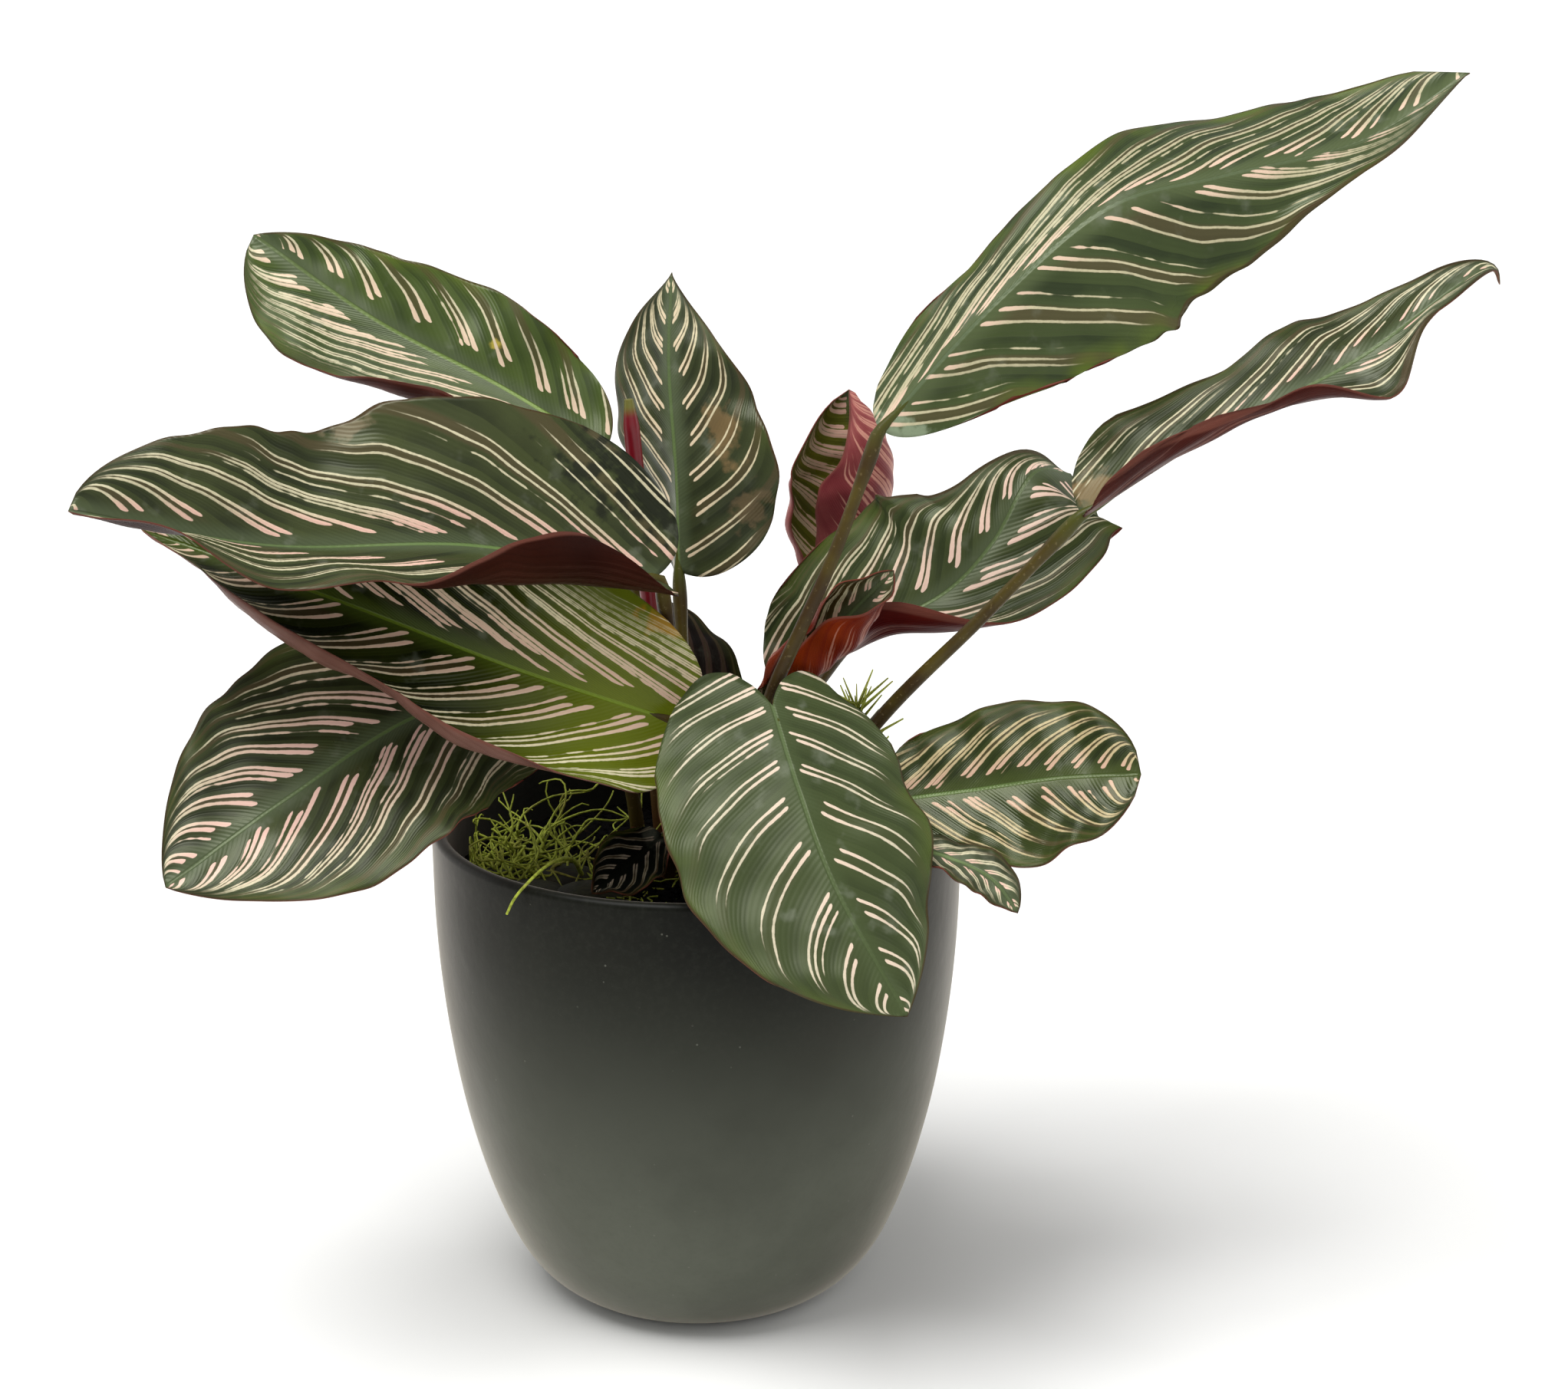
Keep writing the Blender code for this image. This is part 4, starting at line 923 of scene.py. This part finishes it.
def round_tree():
    """A round stalk, roll or strand along a line, as thick as each point's radius says."""
    tree, given = new_tree("Round along its line", {"Sides": 20})
    line = add(tree, "GeometryNodeMeshToCurve", [given["Geometry"]])
    run = add(tree, "GeometryNodeSplineParameter")
    line = add(tree, "GeometryNodeStoreNamedAttribute", {"Geometry": line, "Name": "run", "Value": run},
               data_type="FLOAT", domain="POINT")
    radius = add(tree, "GeometryNodeInputNamedAttribute", {"Name": "radius"}, data_type="FLOAT")
    return finish_tree(tree, given, round_skin(tree, line, given["Sides"], 1.0, radius))


def round_piece(name, tree, line, radii, material, sides=20):
    """A closed round piece along a line of points, with a radius for each."""
    mesh = bpy.data.meshes.new(f"{name}_line")
    mesh.from_pydata([Vector(point)*MM for point in np.array(line).tolist()],
                     [(i, i + 1) for i in range(len(line) - 1)], [])
    radius = mesh.attributes.new("radius", "FLOAT", "POINT")
    radius.data.foreach_set("value", np.array(radii)*MM)
    return grow(name, mesh, tree, Sides=sides, Material=material)


def blade_halves(leaf, seed):
    """Both halves of a blade on a fine mesh along its side veins, with what their UV maps hold."""
    length = steps(smooth_through(leaf.midrib)).sum()
    rows = max(24, round(length/ROW_STEP))
    columns = max(10, round(max(leaf.left.width + leaf.right.width)/COLUMN_STEP))
    halves = []
    for half, sign in ((leaf.left, -1), (leaf.right, 1)):
        points, outward, along, out = half_blade(leaf, half, sign, rows, columns, seed)
        place, share = vein_places(half, along, out)
        number = group_numbers(half, place)
        pleat = np.cos(2*np.pi*(number - PLEAT_TOP))*np.clip(4*share*(1 - share), 0, 1)
        pitch = group_pitch(points, number)
        points = points + outward*(PLEAT*pleat*np.clip(pitch/PLEAT_PITCH, 0, 1))[..., None]
        halves.append({"points": np.clip(points, *BLADE_BOX), "along": along, "pitch": pitch, "out": out,
                       "edge": out[:, -1:] - out, "side": share*sign,
                       "number": number + COUNT_FROM + COUNT_APART*sign})
    return halves, rows, columns


def make_blade(name, leaf, paint, line_group):
    """A fine blade: a grid along the side veins, bent and pleated, thickened downwards with a stout rib."""
    halves, rows, columns = blade_halves(leaf, paint.seed)
    bpy.ops.mesh.primitive_grid_add(x_subdivisions=2*columns, y_subdivisions=rows, size=1)
    blade = bpy.context.object
    blade.name = f"leaf_{name}"
    mesh = blade.data
    mesh.name = blade.name
    where = read_all(mesh.vertices, "co", float, 3)
    column = np.rint((where[:, 0] + 0.5)*2*columns).astype(int) - columns
    row = np.rint((where[:, 1] + 0.5)*rows).astype(int)
    corner = read_all(mesh.loops, "vertex_index")
    sizes = read_all(mesh.polygons, "loop_total")
    face = np.repeat(np.arange(len(sizes)), sizes)
    on_right = (np.bincount(face, column[corner])/sizes > 0)[face]

    def read(what, right, row, column):
        """One of the halves' values, at rows along the blade and columns out from its midrib."""
        step = np.abs(column)
        right = right.reshape(-1, *[1]*(halves[0][what].ndim - 2))
        return np.where(right, halves[1][what][row, step], halves[0][what][row, step])

    mesh.vertices.foreach_set("co", (read("points", column > 0, row, column)*MM).ravel())
    for label, names in UV_MAPS.items():
        pair = [read(what, on_right, row[corner], column[corner]) for what in names]
        mesh.uv_layers.new(name=label).data.foreach_set("uv", np.stack(pair, -1).ravel())
    rib = blade.vertex_groups.new(name="rib")
    near = np.exp(-(read("out", column > 0, row, column)/RIB_WIDE)**2)
    below_tip = np.clip(1.1 - 1.2*row/rows, 0, 1)
    for vertex, weight in enumerate((near*below_tip).tolist()):
        rib.add([vertex], weight, "REPLACE")
    sheet = bmesh.new()
    sheet.from_mesh(mesh)
    bmesh.ops.remove_doubles(sheet, verts=sheet.verts, dist=WELD*MM)
    sheet.to_mesh(mesh)
    sheet.free()
    mesh.shade_smooth()
    skin = blade.modifiers.new("Thickness", "SOLIDIFY")
    skin.thickness = RIB_THICK*MM
    skin.offset = -1
    skin.vertex_group = "rib"
    skin.thickness_vertex_group = BLADE_THICK/RIB_THICK
    skin.material_offset = 1
    skin.material_offset_rim = 1
    mesh.materials.clear()
    starts = (leaf.left.start, leaf.right.start)
    mesh.materials.append(upper_face(name, paint, line_group, starts))
    mesh.materials.append(under_face(name, paint, line_group, starts))
    return finish_piece(blade, "leaf_young" if name == "front_roll" else "leaf_blade", f"blade_{name}")


def stalk_route(leaf):
    """From the bottom of its hole, up out of the soil, in a curve to the blade and on under its midrib."""
    line = smooth_through(leaf.midrib)
    ahead = unit(line[4] - line[0])
    up = square_to(ahead, np.array(leaf.face, float))
    foot = np.array([*leaf.hole, 0], float)
    last = np.array(leaf.stalk[-1] if leaf.stalk else foot + [0, 0, SOIL_MIDDLE], float)
    crossing = np.linalg.norm(np.cross(unit(line[0] - last), ahead))
    before, under = leaf.meet
    end = line[0] - ahead*(before + (STALK_TOP + KNEE_EXTRA)*crossing) - up*under
    bottom = foot + [0, 0, FOOT_HEIGHT]
    collar = foot + [0, 0, SOIL_MIDDLE + COLLAR]
    free = smooth_through([collar, *leaf.stalk, end], 25)
    length = steps(free).sum() + HOLE_DEPTH
    heading = unit(np.gradient(line, axis=0))
    rib = [line[index] - square_to(heading[index], up)*RIB_DEPTH for index in RIB_STEPS]
    return smooth_through([bottom, *free, *rib], round(length/STALK_STEP)), length


def make_stalk(name, leaf, tree, material):
    """A leaf stalk, thinner upwards, swollen at its knee, running on under the blade as its rib."""
    line, length = stalk_route(leaf)
    run = run_along(line)
    share = np.clip(run/length, 0, 1)
    radii = STALK_FOOT + (STALK_TOP - STALK_FOOT)*share
    knee = np.clip(1 - np.abs(run - length + KNEE_LENGTH/2)/KNEE_LENGTH, 0, 1)
    radii = radii + 1.3*KNEE_EXTRA*knee*knee*(3 - 2*knee)*(length > 3*KNEE_LENGTH)
    past = np.clip((run - length)/max(run[-1] - length, 1), 0, 1)
    stalk = round_piece(f"stalk_of_{name}", tree, line, radii*(1 - past) + STALK_END*past, material)
    return finish_piece(stalk, "leaf_stalk", f"stalk_{name}")


def make_spear(tree, material):
    """The newest leaf, rolled tight, a little wider where it begins to open."""
    line = smooth_through([(*SPEAR_ROUTE[0][:2], FOOT_HEIGHT), *SPEAR_ROUTE[1:]], 100)
    share = np.linspace(0, 1, len(line))
    radii = SPEAR_RADIUS - SPEAR_TAPER*np.abs(SPEAR_WIDEST - share)
    radii = radii*np.clip(1 - 9*np.clip(share - SPEAR_TIP, 0, 1), 0.4, 1)
    return finish_piece(round_piece("rolled_leaf", tree, line, radii, material), "leaf_young", "spear")


def lathe(name, profile, sides, material):
    """A turned piece from (radius, height) points that run down its outer side."""
    mesh = bpy.data.meshes.new(name)
    points = [(radius*MM, 0, height*MM) for radius, height in profile]
    mesh.from_pydata(points, [(i, i + 1) for i in range(len(points) - 1)], [])
    thing = new_object(name, mesh, material)
    screw = thing.modifiers.new("Turn", "SCREW")
    screw.steps = sides
    screw.render_steps = sides
    screw.use_merge_vertices = True
    screw.merge_threshold = WELD*MM
    screw.use_smooth_shade = True
    return thing


def inner_radius(height):
    """How wide the pot is inside, from its middle."""
    return float(np.interp(height, *zip(*POT_OUTLINE))) - POT_WALL


def make_pot():
    """The thrown pot: a smooth shell with a rounded foot and rim."""
    side = smooth_through([(radius, 0, height) for height, radius in POT_OUTLINE], 70)
    rim = []
    for step in range(RIM_STEPS + 1):
        angle = math.pi*step/RIM_STEPS
        rim.append((POT_RADIUS - RIM_ROUND - RIM_ROUND*math.cos(angle),
                    POT_HEIGHT - RIM_ROUND + RIM_ROUND*math.sin(angle)))
    inside = [(0, POT_FLOOR), (INNER_CORNER, POT_FLOOR)]
    inside += [(inner_radius(height), height) for height in range(20, 180, 10)]
    outside = [(float(point[0]), float(point[2])) for point in side[::-1]]
    pot = lathe("glazed_pot", inside + rim + outside + [(0, 0)], POT_SIDES, glaze_surface())
    return finish_piece(pot, "pot_glaze", "pot")


def soil_height(x, y):
    """How high the soil's even top lies at a place."""
    return np.interp(np.hypot(x, y), *zip(*SOIL_TOP))


def make_soil(material):
    """The soil: an uneven top that turns down at the wall, over a plain filling."""
    top = [(float(radius), float(soil_height(radius, 0))) for radius in np.linspace(0, 94.2, 70)]
    side = [(inner_radius(height) - SOIL_GAP, height) for height in (158, 140, 100, 50, 20)]
    floor = [(INNER_CORNER - SOIL_GAP, POT_FLOOR + 0.3), (0, POT_FLOOR + 0.3)]
    soil = lathe("soil_filling", top + side + floor, SOIL_SIDES, material)
    for vertex in settle(soil).vertices:
        x, y, z = (value/MM for value in vertex.co)
        inwards = SOIL_RIM - math.hypot(x, y)
        if z > SOIL_EDGE - 2 and inwards > 0:
            lump = math.sin(0.21*x + 1)*math.cos(0.17*y) + 0.6*math.sin(0.43*x - 0.37*y)
            lump += 0.5*math.sin(0.9*x + 0.5*y)*math.cos(0.8*y - 0.3*x)
            vertex.co.z += SOIL_LUMP*lump*min(1, inwards/6)*MM
    return soil


def crumb_tree():
    """Soil crumbs: small faceted grains of mixed sizes scattered over the soil's top."""
    tree, given = new_tree("Soil crumbs", {"Crumbs per square metre": 110000.0, "Crumb radius": 1.5*MM,
                                           "Seed": 8})
    up = add(tree, AXES, [add(tree, "GeometryNodeInputNormal")], 2)
    top = add(tree, MATH, [up, 0.5], operation="GREATER_THAN")
    spread = add(tree, "GeometryNodeDistributePointsOnFaces",
                 {"Mesh": given["Geometry"], "Selection": top, "Density": given["Crumbs per square metre"],
                  "Seed": given["Seed"]})
    grain = add(tree, "GeometryNodeMeshIcoSphere", {"Radius": given["Crumb radius"], "Subdivisions": 1})
    turn = add(tree, RANDOM, {1: (6.3, 6.3, 6.3), "Seed": given["Seed"]}, data_type="FLOAT_VECTOR")
    size = add(tree, RANDOM, {0: (0.25, 0.25, 0.2), 1: (1.1, 0.9, 0.7), "Seed": given["Seed"]},
               data_type="FLOAT_VECTOR")
    copies = add(tree, "GeometryNodeInstanceOnPoints",
                 {"Points": spread, "Instance": grain, "Rotation": turn, "Scale": size})
    return finish_tree(tree, given, copies, smooth=False)


def make_ground():
    """The soil and the crumbs on it."""
    material = soil_surface()
    soil = make_soil(material)
    finish_piece(grow("soil_crumbs", soil.data.copy(), crumb_tree(), Material=material), "soil")
    finish_piece(soil, "soil", "soil")


def strand_tree():
    """Moss strands: lines scattered over the cushions, each curled by its own noise, held in the pot."""
    tree, given = new_tree("Moss strands", {"Strands per square metre": 36000.0, "Strand length": 50*MM,
                                            "Curl": 36*MM, "Curls per metre": 52.0, "Strand radius": 0.62*MM,
                                            "Pot inside": 86*MM, "Lowest": 163*MM, "Seed": 3})
    spread = add(tree, "GeometryNodeDistributePointsOnFaces",
                 {"Mesh": given["Geometry"], "Density": given["Strands per square metre"],
                  "Seed": given["Seed"]})
    own = add(tree, RANDOM, {2: 0.0, 3: 90.0, "Seed": given["Seed"]}, 1, data_type="FLOAT")
    spread = add(tree, "GeometryNodeStoreNamedAttribute", {"Geometry": spread, "Name": "own", "Value": own},
                 data_type="FLOAT", domain="POINT")
    far = add(tree, JOIN, [given["Strand length"]])
    line = add(tree, "GeometryNodeCurvePrimitiveLine", {"End": far})
    line = add(tree, "GeometryNodeResampleCurve", {"Curve": line, "Count": 22})
    turn = add(tree, RANDOM, {0: (0, -0.6, 0), 1: (0, 0.1, 6.3), "Seed": given["Seed"]},
               data_type="FLOAT_VECTOR")
    size = add(tree, RANDOM, {2: 0.45, 3: 1.15, "Seed": given["Seed"]}, 1, data_type="FLOAT")
    copies = add(tree, "GeometryNodeInstanceOnPoints",
                 {"Points": spread, "Instance": line, "Rotation": turn, "Scale": size})
    lines = add(tree, "GeometryNodeRealizeInstances", [copies])
    run = add(tree, "GeometryNodeSplineParameter", give="Length")
    own = add(tree, "GeometryNodeInputNamedAttribute", {"Name": "own"}, data_type="FLOAT")
    swirl = add(tree, NOISE, {"Vector": add(tree, JOIN, [run]), "W": own, "Scale": given["Curls per metre"],
                              "Detail": 0.0}, "Color", **SEEDED)
    swirl = add(tree, VECTOR_MATH, [swirl, (0.5, 0.5, 0.47)], **LESS)
    swirl = add(tree, VECTOR_MATH, {0: swirl, "Scale": given["Curl"]}, operation="SCALE")
    lines = add(tree, "GeometryNodeSetPosition", {"Geometry": lines, "Offset": swirl})
    at = add(tree, "GeometryNodeInputPosition")
    flat = add(tree, VECTOR_MATH, [at, (1, 1, 0)], **TIMES)
    away = add(tree, VECTOR_MATH, [flat], "Value", operation="LENGTH")
    held = add(tree, MATH, [given["Pot inside"], away], operation="DIVIDE")
    held = add(tree, MATH, [held, 1.0], operation="MINIMUM")
    flat = add(tree, VECTOR_MATH, {0: flat, "Scale": held}, operation="SCALE")
    level = add(tree, MATH, [add(tree, AXES, [at], 2), given["Lowest"]], **LESS)
    level = add(tree, MATH, [level, 0.0], operation="MAXIMUM")
    pressed = add(tree, RANGE, [add(tree, AXES, [at], 1), -32*MM, 12*MM, 0.25, 1.0])
    level = add(tree, MATH, [level, pressed, given["Lowest"]], **TIMES_PLUS)
    within = add(tree, VECTOR_MATH, [flat, add(tree, JOIN, {"Z": level})], **PLUS)
    lines = add(tree, "GeometryNodeSetPosition", {"Geometry": lines, "Position": within})
    taper = add(tree, RANGE, [add(tree, "GeometryNodeSplineParameter"), 0.0, 1.0, 1.1, 0.45])
    return finish_tree(tree, given, round_skin(tree, lines, 5, given["Strand radius"], taper))


def make_cushion(material):
    """The low mounds that the moss strands grow from."""
    merged = bmesh.new()
    for place, size in MOSS_MOUNDS:
        known = len(merged.verts)
        bmesh.ops.create_icosphere(merged, subdivisions=3, radius=1)
        merged.verts.ensure_lookup_table()
        for vertex in merged.verts[known:]:
            x = place[0] + vertex.co.x*size[0]
            y = place[1] + vertex.co.y*size[1]
            rise = max(MOUND_FOOT + vertex.co.z*size[2]*MOUND_SHARE, 0)
            vertex.co = Vector((x, y, float(soil_height(x, y)) + MOSS_LIFT + rise))*MM
    mesh = bpy.data.meshes.new("moss_cushion")
    merged.to_mesh(mesh)
    merged.free()
    mesh.shade_smooth()
    return new_object("moss_cushion", mesh, material)


def make_moss(round_line):
    """Sheet moss: dark cushions, a tangle of bright strands, and strands that cross the rim."""
    cushion = make_cushion(moss_surface("Moss cushion", "#0c0c05", "#2c2d10", "#1c1a0b"))
    bright = moss_surface("Moss strands", "#555a15", "#a9b63c", "#9a9840")
    finish_piece(grow("moss_strands", cushion.data.copy(), strand_tree(), Material=bright), "moss")
    finish_piece(cushion, "moss", "moss")
    for number, route in enumerate(RIM_STRANDS):
        line = smooth_through(route, 60)
        radii = np.linspace(*RIM_STRAND_RADII, len(line))
        finish_piece(round_piece(f"rim_strand_{number}", round_line, line, radii, bright, 8), "moss")


def needle_tree():
    """Needle leaves round an upright stem, as thin cones set in a spiral."""
    tree, given = new_tree("Needle leaves", {"Stem height": 50*MM, "Needles": 80, "Needle length": 21*MM,
                                             "Needle radius": 1.0*MM, "Needle tip": 0.35*MM, "Seed": 5})
    top = add(tree, JOIN, {"Z": given["Stem height"]})
    stem = add(tree, "GeometryNodeCurvePrimitiveLine", {"End": top})
    parts = add(tree, "GeometryNodeResampleCurve", {"Curve": stem, "Count": given["Needles"]})
    turn = add(tree, MATH, [add(tree, "GeometryNodeInputIndex"), 2.4], **TIMES)
    lean = add(tree, RANDOM, {2: 0.35, 3: 1.15, "Seed": given["Seed"]}, 1, data_type="FLOAT")
    aim = add(tree, JOIN, {"X": lean, "Z": turn})
    needle = add(tree, "GeometryNodeMeshCone",
                 {"Vertices": 5, "Radius Bottom": given["Needle radius"], "Radius Top": given["Needle tip"],
                  "Depth": given["Needle length"]})
    size = add(tree, RANDOM, {2: 0.6, 3: 1.1, "Seed": given["Seed"]}, 1, data_type="FLOAT")
    copies = add(tree, "GeometryNodeInstanceOnPoints",
                 {"Points": parts, "Instance": needle, "Rotation": aim, "Scale": size})
    both = add(tree, "GeometryNodeJoinGeometry", give=None)
    for geometry in (copies, round_skin(tree, stem, 6, 1.1*MM)):
        tree.links.new(geometry, both.inputs[0])
    return finish_tree(tree, given, both.outputs[0])


def make_tuft():
    """The upright tuft of needle-leaved moss at the back right."""
    green = moss_surface("Needle moss", "#6b7220", "#aab34c", "#c2b765")
    tuft = grow("needle_moss", bpy.data.meshes.new("needle_moss"), needle_tree(), Material=green)
    x, y = TUFT_PLACE
    tuft.data.transform(Matrix.Translation(Vector((x, y, float(soil_height(x, y)) + 0.6))*MM))
    finish_piece(tuft, "moss", "moss_tuft")


def make_stage():
    """A plain white floor under an even white sky and four wide soft lights, seen as in the photo."""
    bpy.ops.mesh.primitive_plane_add(size=FLOOR_SIZE)
    floor = bpy.context.object
    floor.name = "floor"
    material, _, shader, _ = new_surface("Plain white floor", 0.9, 1.3)
    shader.inputs["Base Color"].default_value = linear(FLOOR_WHITE)
    floor.data.materials.append(material)
    scene = bpy.context.scene
    scene.view_settings.view_transform = "Standard"
    world = scene.world or bpy.data.worlds.new("Studio")
    scene.world = world
    world.use_nodes = True
    sky = world.node_tree.nodes["Background"]
    sky.inputs["Color"].default_value = (1, 1, 1, 1)
    sky.inputs["Strength"].default_value = SKY
    for name, aim, power, spread in SUNS:
        light = bpy.data.lights.new(name, "SUN")
        light.energy = power
        light.angle = math.radians(spread)
        lamp = bpy.data.objects.new(name, light)
        scene.collection.objects.link(lamp)
        lamp.rotation_euler = Vector(aim).to_track_quat("Z", "Y").to_euler()
    lens = bpy.data.cameras.new("photo_view")
    lens.sensor_width = SENSOR
    lens.sensor_fit = "HORIZONTAL"
    lens.lens = LENS
    camera = bpy.data.objects.new("photo_view", lens)
    scene.collection.objects.link(camera)
    camera.location = CAMERA_PLACE
    camera.rotation_euler = (math.radians(CAMERA_TILT), 0, 0)
    scene.camera = camera


def main():
    """Load the model's frame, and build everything."""
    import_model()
    make_stage()
    make_pot()
    make_ground()
    line_group, round_line, stalk_skin = stripe_group(), round_tree(), stalk_surface()
    for name, leaf in LEAVES.items():
        make_blade(name, leaf, PAINTS[name], line_group)
        make_stalk(name, leaf, round_line, stalk_skin)
    make_spear(round_line, spear_surface())
    make_moss(round_line)
    make_tuft()


main()
